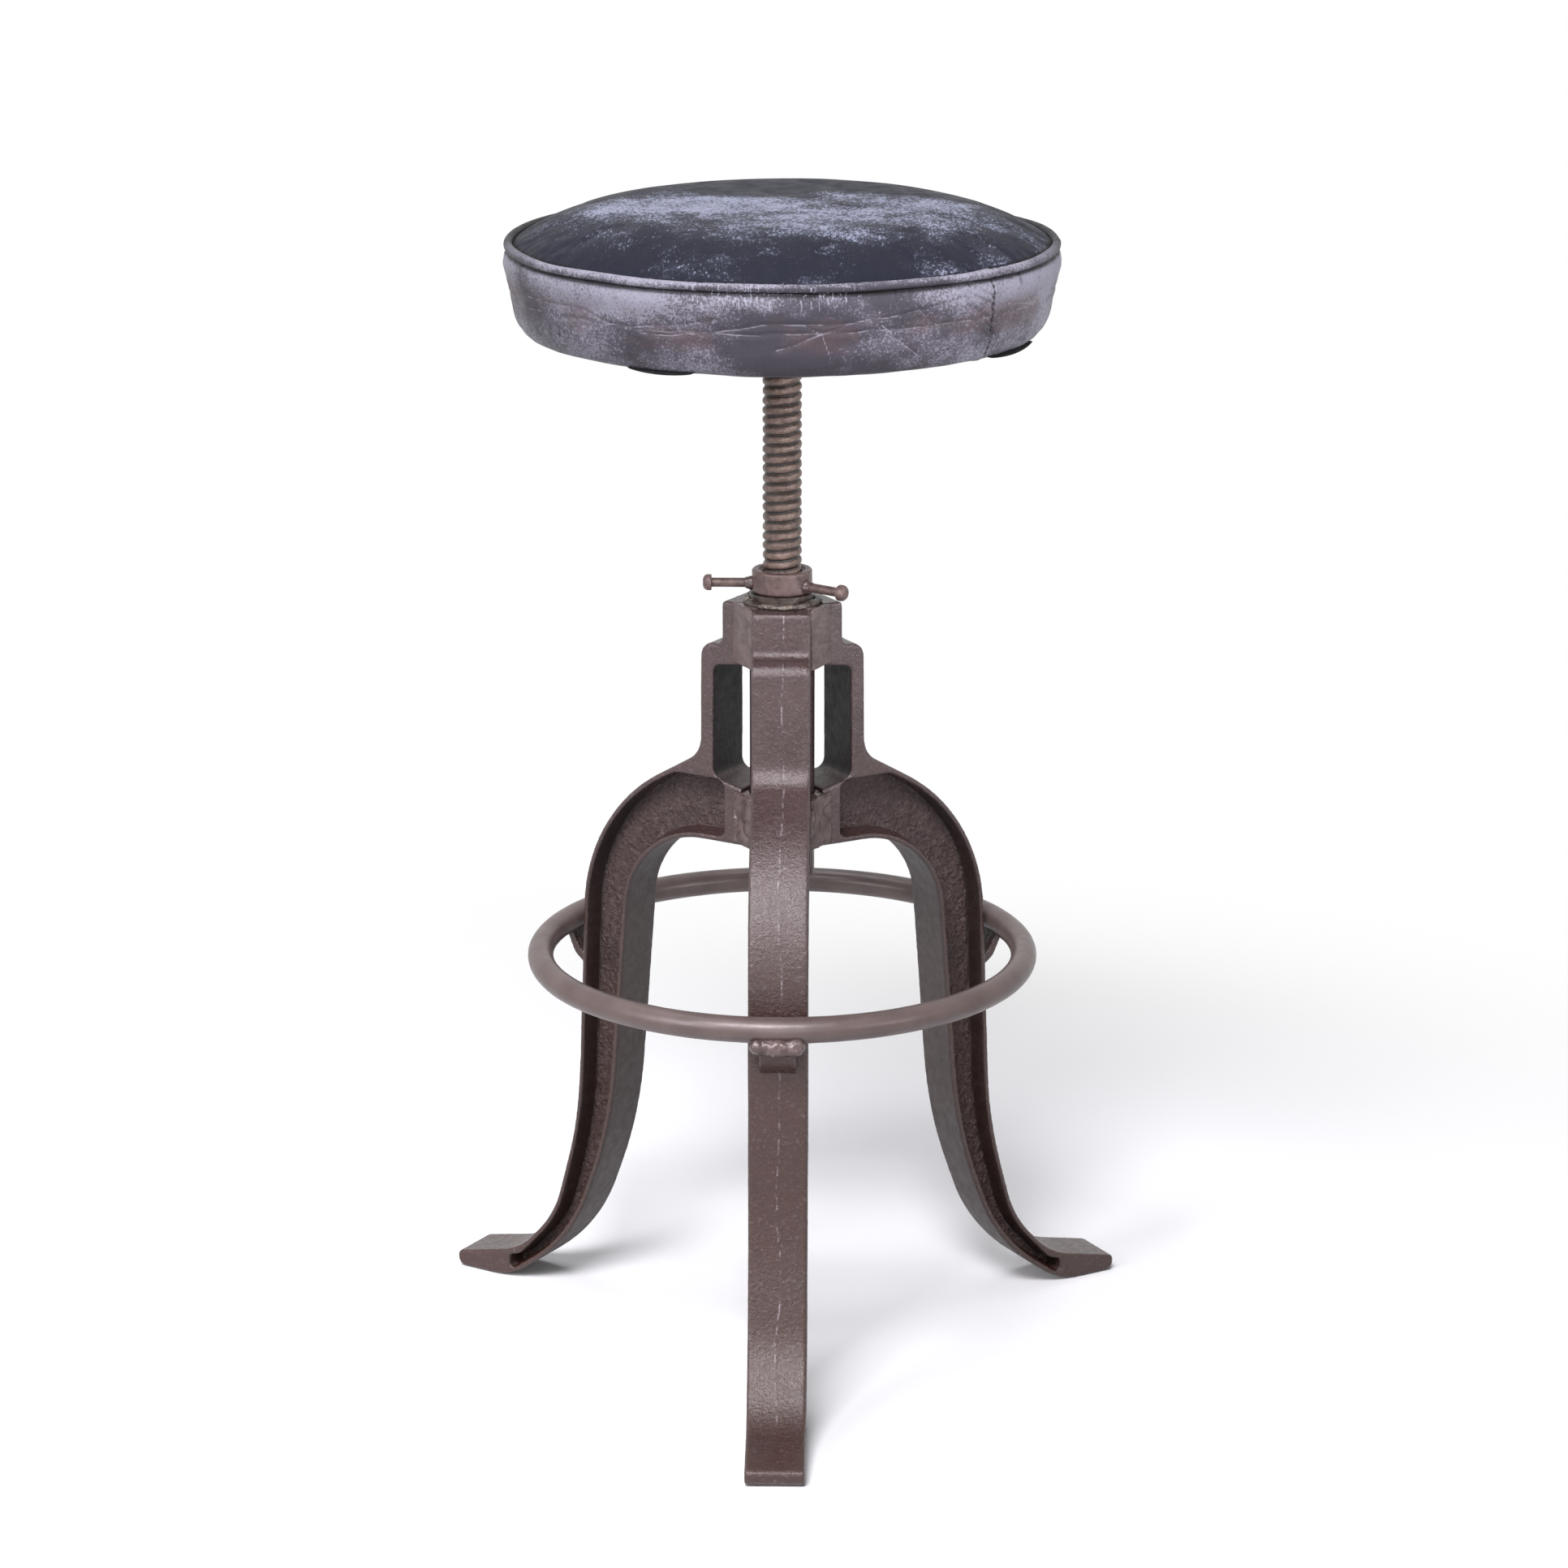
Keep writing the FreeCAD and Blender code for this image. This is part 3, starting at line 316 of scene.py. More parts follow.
def iron(name, grain=1.0, cast=False):
    """Worn satin paint on iron, redder low down; on a casting also its rough recess with painted glints,
    its line, and painted shade in the windows and on inner faces.
    """
    n = Nodes(name)
    z = n.split()[2]
    fine = n.noise(420.0, 3.0, 0.6)
    pebble = n.noise(1000.0, 4.0, 0.65)
    low = n.remap(n.math("MULTIPLY_ADD", n.noise(11.0, 4.0, 0.6), 0.2, z), 0.24, 0.56, 1.0, 0.0)
    color = n.mix(low, rgb(64, 48, 48), rgb(54, 31, 24))
    color = n.mix(n.remap(n.noise(30.0, 5.0, 0.6), 0.45, 0.7, 0.0, 0.5), color, rgb(50, 35, 33))
    color = n.mix(n.remap(fine, 0.56, 0.74, 0.0, 0.3), color, rgb(120, 104, 108))
    rough = n.remap(n.noise(150.0, 5.0, 0.6), 0.3, 0.7, 0.22, 0.36)
    height = n.bumped(fine, 0.0008 * grain, 0.6, n.bumped(pebble, 0.0005 * grain, 0.7))
    if cast:
        deep = n.mark("deep")
        # painted glints: lighter speckles in the rough recess stand in for its sparkle
        painted_glints = n.math("MULTIPLY", deep, n.remap(n.noise(300.0, 4.0, 0.7), 0.5, 0.7, 0.0, 0.7))
        color = n.mix(painted_glints, color, rgb(92, 75, 75))
        coarse = n.math("MULTIPLY", n.noise(330.0, 4.0, 0.7), deep)
        height = n.bumped(coarse, 0.0034, 0.9, height)
        line = n.remap(n.mark("line"), 0.15, 0.75, 1.0, 0.0)
        line = n.math("MULTIPLY", line, n.remap(n.noise(160.0, 4.0, 0.7), 0.46, 0.62, 0.0, 0.6))
        color = n.mix(line, color, rgb(168, 158, 164))
        # painted shade: near black in the windows, darker on the legs' inner faces
        color = n.mix(n.mark("painted_shade"), color, rgb(8, 5, 4))
        rough = n.math("MULTIPLY_ADD", n.mark("painted_shade"), 0.4, rough)
    return n.finish(color, rough, height, metallic=0.1, specular=0.62)


def metal(name, dark, light, low, high, scale=200.0, depth=0.0004, metallic=0.12, specular=0.55):
    n = Nodes(name)
    color = n.mix(n.remap(n.noise(scale, 5.0, 0.6), 0.32, 0.68), dark, light)
    rough = n.remap(n.noise(scale * 1.7, 4.0, 0.6), 0.3, 0.7, low, high)
    normal = n.bumped(n.noise(scale * 4, 4.0, 0.6), depth, 0.8)
    return n.finish(color, rough, normal, metallic, specular)


def screw_metal():
    """Brown greasy thread with dark roots."""
    n = Nodes("screw_metal")
    x, y = n.split()[:2]
    radius = n.math("SQRT", n.math("ADD", n.math("MULTIPLY", x, x), n.math("MULTIPLY", y, y)))
    color = n.mix(n.remap(n.noise(260.0, 5.0, 0.6), 0.3, 0.7), rgb(74, 56, 48), rgb(116, 96, 86))
    color = n.mix(n.remap(n.noise(90.0, 4.0, 0.6), 0.55, 0.75, 0.0, 0.5), color, rgb(78, 52, 34))
    color = n.mix(n.remap(radius, 0.0113, 0.0121, 1.0, 0.0), color, rgb(22, 14, 11))
    rough = n.remap(n.noise(380.0, 4.0, 0.6), 0.3, 0.7, 0.24, 0.44)
    normal = n.bumped(n.noise(900.0, 4.0, 0.7), 0.0006, 0.8)
    return n.finish(color, rough, normal, metallic=0.2, specular=0.6)


def leather(name, part):
    """Waxy blue grey leather, worn pale in clouds of fine grain, with pale lines along its creases;
    painted highlights lighten the band and welt towards their tops and sides and the front edge by the
    welt, and painted shade darkens the welt's underside and the leather just under and inside it.
    """
    n = Nodes(name)
    x, y, z = n.split()
    if part == "top":
        dark, middle, pale = rgb(27, 28, 37), rgb(52, 55, 66), rgb(146, 149, 168)
        cloud = n.noise(19.0, 6.0, 0.7)
        grain = n.noise(560.0, 4.0, 0.8, stretch=(1.0, 0.4, 1.0))
        wide = n.math("DIVIDE", n.math("ADD", x, 0.01), 0.15)
        deep = n.math("DIVIDE", n.math("ADD", y, 0.03), 0.08)
        away = n.math("ADD", n.math("MULTIPLY", wide, wide), n.math("MULTIPLY", deep, deep))
        field = n.math("ADD", cloud, n.remap(away, 0.0, 1.8, 0.12, -0.14))
        field = n.math("ADD", field, n.remap(y, 0.0, 0.11, 0.0, -0.30))
        field = n.math("ADD", field, n.remap(x, -0.16, -0.08, -0.12, 0.0))
        soft, gloss = 1.0, 0.04
    else:
        dark, middle, pale = rgb(56, 53, 60), rgb(80, 77, 85), rgb(158, 156, 170)
        cloud = n.noise(16.0, 5.0, 0.6, stretch=(1.0, 1.0, 1.6))
        grain = n.noise(640.0, 4.0, 0.75)
        # painted highlight: the band and the welt lighter towards their tops
        high = (0.715, 0.737) if part == "band" else (0.7435, 0.7465)
        field = n.math("ADD", cloud, n.remap(z, high[0], high[1], -0.04, 0.10))
        # painted light: lighter towards the left and right than at the front and back
        field = n.math("ADD", field, n.remap(n.math("ABSOLUTE", x), 0.03, 0.13, -0.06, 0.08))
        soft, gloss = 0.7, 0.14
    color = n.mix(n.remap(field, 0.38, 0.62), dark, middle)
    speck = n.math("ADD", grain, n.math("MULTIPLY", n.math("SUBTRACT", field, 0.5), 0.9))
    color = n.mix(n.remap(speck, 0.48, 0.68, 0.0, 0.75 * soft), color, pale)
    color = n.mix(n.remap(n.noise(520.0, 4.0, 0.7), 0.50, 0.66, 0.0, 0.5 * soft), color, dark)
    if part == "band":
        off = n.math("ABSOLUTE", n.math("SUBTRACT", z, 0.716))
        belt = n.remap(off, 0.005, 0.016, 0.6, 0.0)
        stain = n.math("MULTIPLY", n.remap(n.noise(17.0, 4.0, 0.6), 0.48, 0.6), belt)
        color = n.mix(stain, color, rgb(78, 64, 66))
    if part == "welt":
        color = n.mix(n.remap(y, -0.10, 0.0), color, rgb(26, 24, 29))
        # painted shade: near black on the welt's underside
        color = n.mix(n.remap(z, 0.7416, 0.7430, 0.85, 0.0), color, rgb(14, 12, 14))
    else:
        crease = n.math("MULTIPLY", n.remap(n.mark("crease"), 0.1, 0.7, 1.0, 0.0),
                        n.remap(n.noise(90.0, 4.0, 0.6), 0.42, 0.58, 0.05, 0.5))
        color = n.mix(crease, color, rgb(158, 152, 160))
        # real stains, a hole and the dark seam, plus painted shade under and just inside the welt
        color = n.mix(n.mark("dirt_and_shade"), color, rgb(14, 12, 14))
    # painted highlight: streaky pale band along the front, just inside and just under the welt
    painted_front_highlight = n.remap(n.noise(760.0, 2.0, 0.5, stretch=(1.0, 1.0, 0.05)), 0.60, 0.66)
    painted_front_highlight = n.math("MULTIPLY", painted_front_highlight, n.remap(y, -0.1655, -0.171, 0.0, 0.4))
    painted_front_highlight = n.math("MULTIPLY", painted_front_highlight, n.remap(z, 0.726, 0.738))
    color = n.mix(painted_front_highlight, color, rgb(170, 168, 182))
    rough = n.remap(n.noise(60.0, 5.0, 0.6), 0.3, 0.7, 0.36, 0.50)
    low = n.bumped(n.remap(n.cell_edges(820.0), 0.0, 0.12), 0.00022, 0.5)
    return n.finish(color, rough, n.bumped(grain, 0.0005, 0.6, low), specular=gloss)


LEATHER_TOP = leather("leather_top_worn", "top")
LEATHER_BAND = leather("leather_band_worn", "band")
LEATHER_WELT = leather("leather_welt_worn", "welt")
SCREW = screw_metal()
COLLAR = metal("collar_metal", rgb(70, 54, 50), rgb(98, 78, 74), 0.30, 0.44, 240.0, 0.0005)
PIPE = iron("pipe_paint", 0.5)
GREASE = metal("greasy_steel", rgb(26, 20, 16), rgb(66, 54, 46), 0.18, 0.4, 140.0, 0.0006)
RING = metal("ring_metal", rgb(80, 66, 64), rgb(92, 78, 75), 0.34, 0.42, 40.0, 0.0002)
WELD = metal("weld_metal", rgb(70, 54, 52), rgb(96, 80, 78), 0.22, 0.36, 120.0, 0.0004)
INNER = metal("inner_steel", rgb(60, 50, 46), rgb(86, 74, 70), 0.32, 0.46)
PLY = metal("plywood", rgb(150, 118, 80), rgb(178, 146, 104), 0.6, 0.75, 30.0, 0.0002, 0.0)
CLOTH = metal("dust_cloth", rgb(12, 11, 12), rgb(22, 20, 22), 0.8, 0.95, 300.0, 0.0004, 0.0, 0.2)
THREAD = metal("stitch_thread", rgb(18, 16, 16), rgb(34, 30, 30), 0.6, 0.8, 300.0, 0.0002, 0.0)

# Legs


def leg_frame(angle):
    turn = math.radians(angle)
    return np.array([math.cos(turn), math.sin(turn)]), np.array([-math.sin(turn), math.cos(turn)])


def leg_marks(angle, seed):
    """Where the rough recess, the painted shade of the windows and inner faces, and the casting line
    lie.
    """
    outward, sideways = leg_frame(angle)

    def marks(points, normal):
        aside = np.abs(points[:, :2] @ sideways)
        flat = np.abs(normal[:, :2] @ sideways)
        radius = points[:, :2] @ outward
        deep = (1 - step(aside, 0.009, 0.013)) * step(flat, 0.5, 0.75)
        window = step(points[:, 2], 0.378, 0.386) * (1 - step(points[:, 2], 0.468, 0.472))
        # painted shade: near black on the window walls, lighter where they face up
        painted_shade = window * (1 - step(radius, 0.0425, 0.0445)) * (1 - step(flat, 0.35, 0.6))
        painted_shade *= 0.92 - 0.5 * step(normal[:, 2], 0.4, 0.8)
        # painted shade on the legs' inner faces below the windows
        within = step(-(normal[:, :2] @ outward), 0.2, 0.6) * (1 - step(points[:, 2], 0.36, 0.375))
        painted_shade = np.maximum(painted_shade, within * 0.55)
        wobble = 0.0016 * fractal(points * [0, 0, 1.0], 0.05, 4, seed)
        line = np.abs(points[:, :2] @ sideways - 0.0008 - wobble)
        line = np.where(normal[:, :2] @ outward > 0.4, line * 1000, 9.0)
        return {"deep": deep, "painted_shade": painted_shade, "line": line}

    return marks


def leg_relief(angle, seed):
    """Fine grain on the faces, coarse grain in the recess and the line of the casting."""

    def relief(points, normal):
        found = leg_marks(angle, seed)(points, normal)
        deep = found["deep"]
        fine = fractal(points, 0.0035, 2, seed) * 0.00006
        coarse = fractal(points, 0.0040, 2, seed + 9) * 0.00055
        waves = noise(points, 0.03, seed + 20) * 0.00016
        parting = bump(found["line"], 0.7) * step(noise(points, 0.012, seed + 31), -0.1, 0.5)
        return fine * (1 - deep) + coarse * deep + waves + parting * 0.00025

    return relief


for side, angle in LEG_ANGLES.items():
    rework(
        "casting_" + side,
        ["leg_" + side],
        "base",
        iron("leg_iron_" + side, 1.0, True),
        0.0010,
        2,
        leg_relief(angle, 3),
        leg_marks(angle, 3),
    )
    rework(
        "strap_" + side,
        ["ring_bracket_" + side],
        "base",
        iron("strap_iron_" + side, 0.8),
        0.0008,
        2,
        lambda p, n: fractal(p, 0.006, 3, 5) * 0.0002,
    )

# Welds


def pits(points, spots):
    """Small holes at the given places."""
    depth = np.zeros(len(points))
    for x, y, z, radius, deep in spots:
        gap = np.linalg.norm(points - np.array([x, y, z]) * MM, axis=1)
        depth += bump(gap, radius * MM) * deep * MM
    return depth


def upper_relief(points, normal):
    right = points[:, 0] > 0
    ripple = np.sin((points[:, 2] + 0.35 * np.abs(points[:, 0])) / 0.0024 * math.pi) * 0.00022
    body = fractal(points, 0.018, 2, 41) * 0.0007
    holes = pits(points, [(-20.0, -21.5, 499.0, 2.0, 4.0), (-25.0, -19.0, 478.0, 1.5, 1.6)])
    return np.where(right, ripple, ripple * 0.2) + body - 0.0003 - holes


def lower_relief(points, normal):
    body = fractal(points, 0.011, 2, 47) * 0.0011
    cracks = bump(noise(points, 0.010, 52), 0.08) * 0.0010
    return body - cracks - 0.0003


rework("weld_upper", ["hub_welds_upper"], "base", WELD, 0.0008, 6, upper_relief)
rework("weld_lower", ["hub_welds_lower"], "base", WELD, 0.0008, 5, lower_relief)
rework(
    "weld_top",
    ["hub_weld_top"],
    "base",
    metal("greasy_weld", rgb(30, 24, 19), rgb(92, 80, 70), 0.16, 0.36, 130.0, 0.0008),
    0.0006,
    3,
    lambda p, n: fractal(p, 0.006, 3, 61) * 0.0009,
)
rework(
    "weld_ring",
    ["ring_welds"],
    "base",
    WELD,
    0.0006,
    4,
    lambda p, n: fractal(p, 0.0075, 3, 71) * 0.0014 - 0.0002,
)
rework(
    "weld_handles",
    ["handle_welds"],
    "collar",
    WELD,
    0.0005,
    2,
    lambda p, n: fractal(p, 0.004, 3, 75) * 0.0007,
)
rework(
    "collar",
    ["lock_collar"],
    "collar",
    COLLAR,
    0.0006,
    2,
    lambda p, n: fractal(p, 0.004, 3, 81) * 0.00008 + noise(p, 0.012, 83) * 0.00015,
)

# Footrest ring


def footrest():
    around = np.linspace(0, 2 * math.pi, 481)[:-1]
    across = np.linspace(0, 2 * math.pi, 37)[:-1]
    u, v = np.meshgrid(around, across, indexing="ij")
    centre = np.stack([np.cos(u), np.sin(u), np.zeros_like(u)], -1)
    radial = centre * np.cos(v)[..., None] + np.array([0, 0, 1.0]) * np.sin(v)[..., None]
    ring_radius, ring_height, bar_radius = 0.160, 0.2702, 0.0085
    points = centre * ring_radius + np.array([0, 0, ring_height]) + radial * bar_radius
    flat = points.reshape(-1, 3)
    lift = noise(flat, 0.035, 91) * 0.00012 + fractal(flat, 0.006, 2, 92) * 0.00003
    points = points + radial * lift.reshape(u.shape)[..., None] - radial * 0.0001
    obj = add_object("footrest", grid_mesh("footrest", points, True, True), RING)
    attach(obj, "base")
    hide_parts("footrest_ring")


footrest()

# Lift screw with its thread


def lift_screw():
    pitch, journal_foot, bottom, top = 0.00635, 0.4514, 0.4637, 0.6889
    widest = 0.01269
    profile = [
        (0.00, 11.2), (0.06, 11.2), (0.13, 11.4), (0.21, 11.95), (0.30, 12.38), (0.40, 12.58),
        (0.53, 12.66), (0.66, 12.60), (0.77, 12.36), (0.86, 11.9), (0.94, 11.4),
    ]
    steps = 72
    turns = int((top - bottom) / pitch) + 3
    rows = []
    for turn in range(-1, turns):
        for place, radius in profile:
            rows.append(((turn + place) * pitch + bottom, radius * MM))
    around = np.linspace(0, 2 * math.pi, steps + 1)
    points = np.zeros((len(rows), steps + 1, 3))
    for i, (height, radius) in enumerate(rows):
        z = np.clip(height + pitch * around / (2 * math.pi), bottom, top)
        worn = radius + 0.00012 * np.sin(3 * around + i * 0.7)
        worn = np.minimum(worn, widest)
        points[i] = np.stack([worn * np.cos(around), worn * np.sin(around), z], -1)
    mesh = grid_mesh("thread", points)
    work = bmesh.new()
    work.from_mesh(mesh)
    bmesh.ops.remove_doubles(work, verts=work.verts, dist=1e-6)
    journal = bmesh.ops.create_cone(
        work, cap_ends=True, segments=48, radius1=0.007, radius2=0.007, depth=bottom - journal_foot
    )
    bmesh.ops.translate(work, verts=journal["verts"], vec=(0, 0, (bottom + journal_foot) / 2))
    bmesh.ops.recalc_face_normals(work, faces=work.faces)
    work.to_mesh(mesh)
    work.free()
    obj = add_object("screw_thread", mesh, SCREW)
    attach(obj, "seat")
    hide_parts("lift_screw")


lift_screw()

# Seat


def rounded(corners, spacing):
    """Points every so often along a path whose corners (radius, height, round) have arcs."""
    path = []
    for i, (x, y, r) in enumerate(corners):
        here = np.array([x, y], float)
        if not r:
            path.append(here)
            continue
        before = np.array(corners[i - 1][:2], float) - here
        after = np.array(corners[i + 1][:2], float) - here
        before /= np.linalg.norm(before)
        after /= np.linalg.norm(after)
        half = math.acos(np.clip(before @ after, -1, 1)) / 2
        reach = r / math.tan(half)
        middle = (before + after) / np.linalg.norm(before + after)
        centre = here + middle * r / math.sin(half)
        first, last = here + before * reach - centre, here + after * reach - centre
        a, b = math.atan2(first[1], first[0]), math.atan2(last[1], last[0])
        b = a + (b - a + math.pi) % (2 * math.pi) - math.pi
        for k in np.linspace(a, b, 24):
            path.append(centre + r * np.array([math.cos(k), math.sin(k)]))
    path = np.array(path)
    length = np.concatenate([[0], np.cumsum(np.linalg.norm(np.diff(path, axis=0), axis=1))])
    count = max(2, int(round(length[-1] / spacing)))
    marks = np.linspace(0, length[-1], count + 1)
    return np.stack([np.interp(marks, length, path[:, 0]), np.interp(marks, length, path[:, 1])], -1)


CROWN = [(0.0, 768.0, 0), (127.1, 767.5, 140.0), (172.1, 744.0, 0)]
SIDE = [(175.4, 741.0, 0), (177.5, 741.0, 0), (167.0, 687.0, 12.5), (130.0, 687.0, 0)]

# Creases of the band as lists of places (angle in degrees, height in millimetres)

CREASES = [
    [(-173, 719), (-146, 723), (-133, 722), (-126, 716), (-110, 720), (-102, 724)],
    [(-134, 712), (-122, 717), (-117, 713), (-108, 714), (-93, 722), (-77, 722), (-65, 726), (-51, 733)],
    [(-90, 706), (-80, 717), (-76, 721)],
    [(-69, 721), (-64, 708), (-59, 697)],
    [(-85, 722), (-81, 716), (-79, 699)],
    [(-61, 729), (-58, 720)],
    [(-38, 724), (-20, 717), (5, 720), (40, 712), (70, 722), (95, 716)],
    [(60, 709), (95, 721), (130, 713), (160, 722), (186, 719)],
]
WRINKLES = [
    [(-51, 739), (-46, 731), (-41.5, 723)],
    [(-49, 728), (-40.4, 713)],
    [(-48.6, 740), (-42.3, 730)],
    [(-45, 719), (-40, 706)],
]


def path_distance(points, paths):
    """Distance in metres along the band's surface to the nearest of the paths."""
    angle = np.arctan2(points[:, 1], points[:, 0])
    angle = np.where(angle > math.radians(100), angle - 2 * math.pi, angle)
    here = np.stack([angle * BAND_RADIUS, points[:, 2]], -1)
    here[:, 1] += noise(points, 0.011, 171) * 0.0011
    nearest = np.full(len(points), 0.05)
    for path in paths:
        turns = [math.radians(a if a < 100 else a - 360) for a, z in path]
        spots = [(turn * BAND_RADIUS, z * MM) for turn, (a, z) in zip(turns, path)]
        for first, last in zip(spots[:-1], spots[1:]):
            start, way = np.array(first), np.array(last) - np.array(first)
            share = np.clip((here - start) @ way / (way @ way), 0, 1)
            gap = np.linalg.norm(here - start - share[:, None] * way, axis=1)
            nearest = np.minimum(nearest, gap)
    return nearest


def seam_turn(height):
    """Angle of the leaning seam at a height."""
    return SEAM_ANGLE + (BAND_TOP - height) * 0.9


def settle(obj, pinned):
    """Blow the cover up a little as cloth and keep at most 0.9 mm of the movement."""
    last_frame, most = 20, 0.0009
    rest = coordinates(obj.data)
    group = obj.vertex_groups.new(name="pinned")
    group.add([int(i) for i in np.nonzero(pinned)[0]], 1.0, "REPLACE")
    cloth = obj.modifiers.new("Cloth", "CLOTH")
    cloth.settings.quality = 6
    cloth.settings.mass = 0.3
    cloth.settings.tension_stiffness = 12
    cloth.settings.compression_stiffness = 12
    cloth.settings.shear_stiffness = 6
    cloth.settings.bending_stiffness = 0.4
    cloth.settings.vertex_group_mass = "pinned"
    cloth.settings.shrink_min = -0.012
    cloth.settings.use_pressure = True
    cloth.settings.uniform_pressure_force = 4.0
    cloth.settings.effector_weights.gravity = 0.0
    cloth.point_cache.frame_start = 1
    cloth.point_cache.frame_end = last_frame
    scene = bpy.context.scene
    for number in range(1, last_frame + 1):
        scene.frame_set(number)
    graph = bpy.context.evaluated_depsgraph_get()
    moved = coordinates(obj.evaluated_get(graph).data)
    obj.modifiers.clear()
    scene.frame_set(1)
    if len(moved) != len(rest):
        return
    shift = moved - rest
    length = np.linalg.norm(shift, axis=1)
    keep = np.where(length > 1e-9, np.minimum(length, most) / np.maximum(length, 1e-9), 0)
    set_coordinates(obj.data, rest + shift * keep[:, None])


def seat_relief(points):
    """Creases and dents of the cover as a height along its normal, and marks for its colour."""
    angle = np.arctan2(points[:, 1], points[:, 0])
    radius = np.hypot(points[:, 0], points[:, 1])
    z = points[:, 2]
    top = step(z, 0.7425, 0.7440) * (radius < 0.1745)
    side = 1 - top
    along = np.stack([angle * 0.17, z, np.zeros_like(z)], -1)
    lift = fractal(points, 0.05, 3, 101) * 0.00040 * top
    lift += fractal(along * [1, 2.2, 1], 0.045, 3, 111) * 0.00050 * side
    lift += bump(z - 0.732, 0.009) * side * 0.0006
    pucker = np.abs(noise(np.stack([angle * 0.17, z * 0, z * 0], -1), 0.0062, 131))
    near_top = bump(radius - 0.170, 0.006) * top * 0.4
    near_side = bump(z - BAND_TOP, 0.009) * side
    more = 0.35 + 0.65 * step(np.cos(angle - math.radians(-65)), 0.2, 0.9)
    lift -= (1 - step(pucker, 0.0, 0.25)) * (near_top + near_side) * more * 0.0005
    crease = path_distance(points, CREASES)
    lift -= (bump(crease, 0.0012) * 0.00045 - bump(crease - 0.003, 0.002) * 0.00025) * side
    wrinkle = path_distance(points, WRINKLES)
    lift -= (bump(wrinkle, 0.0013) * 0.0011 - bump(wrinkle - 0.003, 0.0016) * 0.0005) * side
    across = (angle - seam_turn(z)) * 0.173
    lift -= bump(across, 0.0011) * side * 0.0010
    lift += step(across, -0.006, -0.001) * (1 - step(across, -0.001, 0.0004)) * side * 0.0006
    gap = np.hypot((angle - math.radians(-142.5)) * BAND_RADIUS, (z - 0.703) * 1.5)
    spot = np.hypot((angle - math.radians(-32.8)) * BAND_RADIUS * 1.6, z - 0.7365)
    lift -= bump(gap, 0.0016) * side * 0.0008
    dirt_and_shade = side * (bump(gap, 0.0018) * 0.9 + bump(spot, 0.0026) * 0.6 + bump(across, 0.0005) * 0.7)
    # painted shade: a dark band on the side just under the welt and a dark ring on the top just inside
    # it
    dirt_and_shade += side * step(z, 0.7382, 0.7400) * 0.9 + top * step(radius, 0.1676, 0.1694) * 0.9
    lines = np.minimum(crease, wrinkle * 1.6) + (top > 0.5) * 0.05
    return lift, {"crease": lines * 1000, "dirt_and_shade": np.clip(dirt_and_shade, 0, 1)}


def seat_cover():
    """The leather's top and band over the pad: remeshed, blown up as cloth, then creased."""
    spacing, steps = 4.6, 240
    profile = np.vstack([rounded(CROWN, spacing), [[173.6, 742.0]], rounded(SIDE, spacing)]) * MM
    profile = profile[1:]
    around = np.linspace(0, 2 * math.pi, steps + 1)[:-1]
    points = np.zeros((len(profile), steps, 3))
    for i, (radius, height) in enumerate(profile):
        level = height + 0 * around
        points[i] = np.stack([radius * np.cos(around), radius * np.sin(around), level], -1)
    mesh = grid_mesh("seat_cover", points, wrap_columns=True)
    work = bmesh.new()
    work.from_mesh(mesh)
    ends = [edge for edge in work.edges if edge.is_boundary]
    bmesh.ops.holes_fill(work, edges=ends, sides=0)
    bmesh.ops.recalc_face_normals(work, faces=work.faces)
    work.to_mesh(mesh)
    work.free()
    obj = add_object("seat_cover", mesh, [LEATHER_TOP, LEATHER_BAND])
    shell = obj.modifiers.new("Shell", "REMESH")
    shell.mode = "VOXEL"
    shell.voxel_size = 0.0046
    baked(obj)
    spots = coordinates(obj.data)
    ring = np.hypot(spots[:, 0], spots[:, 1])
    seam = np.hypot(ring - 0.1745, spots[:, 2] - 0.742) < 0.0055
    settle(obj, seam | (spots[:, 2] < 0.6895))
    finer = obj.modifiers.new("Finer", "SUBSURF")
    finer.levels = 2
    baked(obj)
    mesh = obj.data
    spots = coordinates(mesh)
    lift, marks = seat_relief(spots)
    set_coordinates(mesh, spots + normals(mesh) * lift[:, None])
    for key, values in marks.items():
        mark(mesh, key, values)
    mesh.materials.clear()
    mesh.materials.append(LEATHER_TOP)
    mesh.materials.append(LEATHER_BAND)
    for polygon in mesh.polygons:
        polygon.use_smooth = True
        centre = polygon.center
        inside = math.hypot(centre.x, centre.y) < 0.1738 and centre.z > 0.742
        polygon.material_index = 0 if inside else 1
    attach(obj, "seat")
    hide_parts("leather_top", "leather_band", "foam_pad")
    return coordinates(mesh)


COVER = seat_cover()


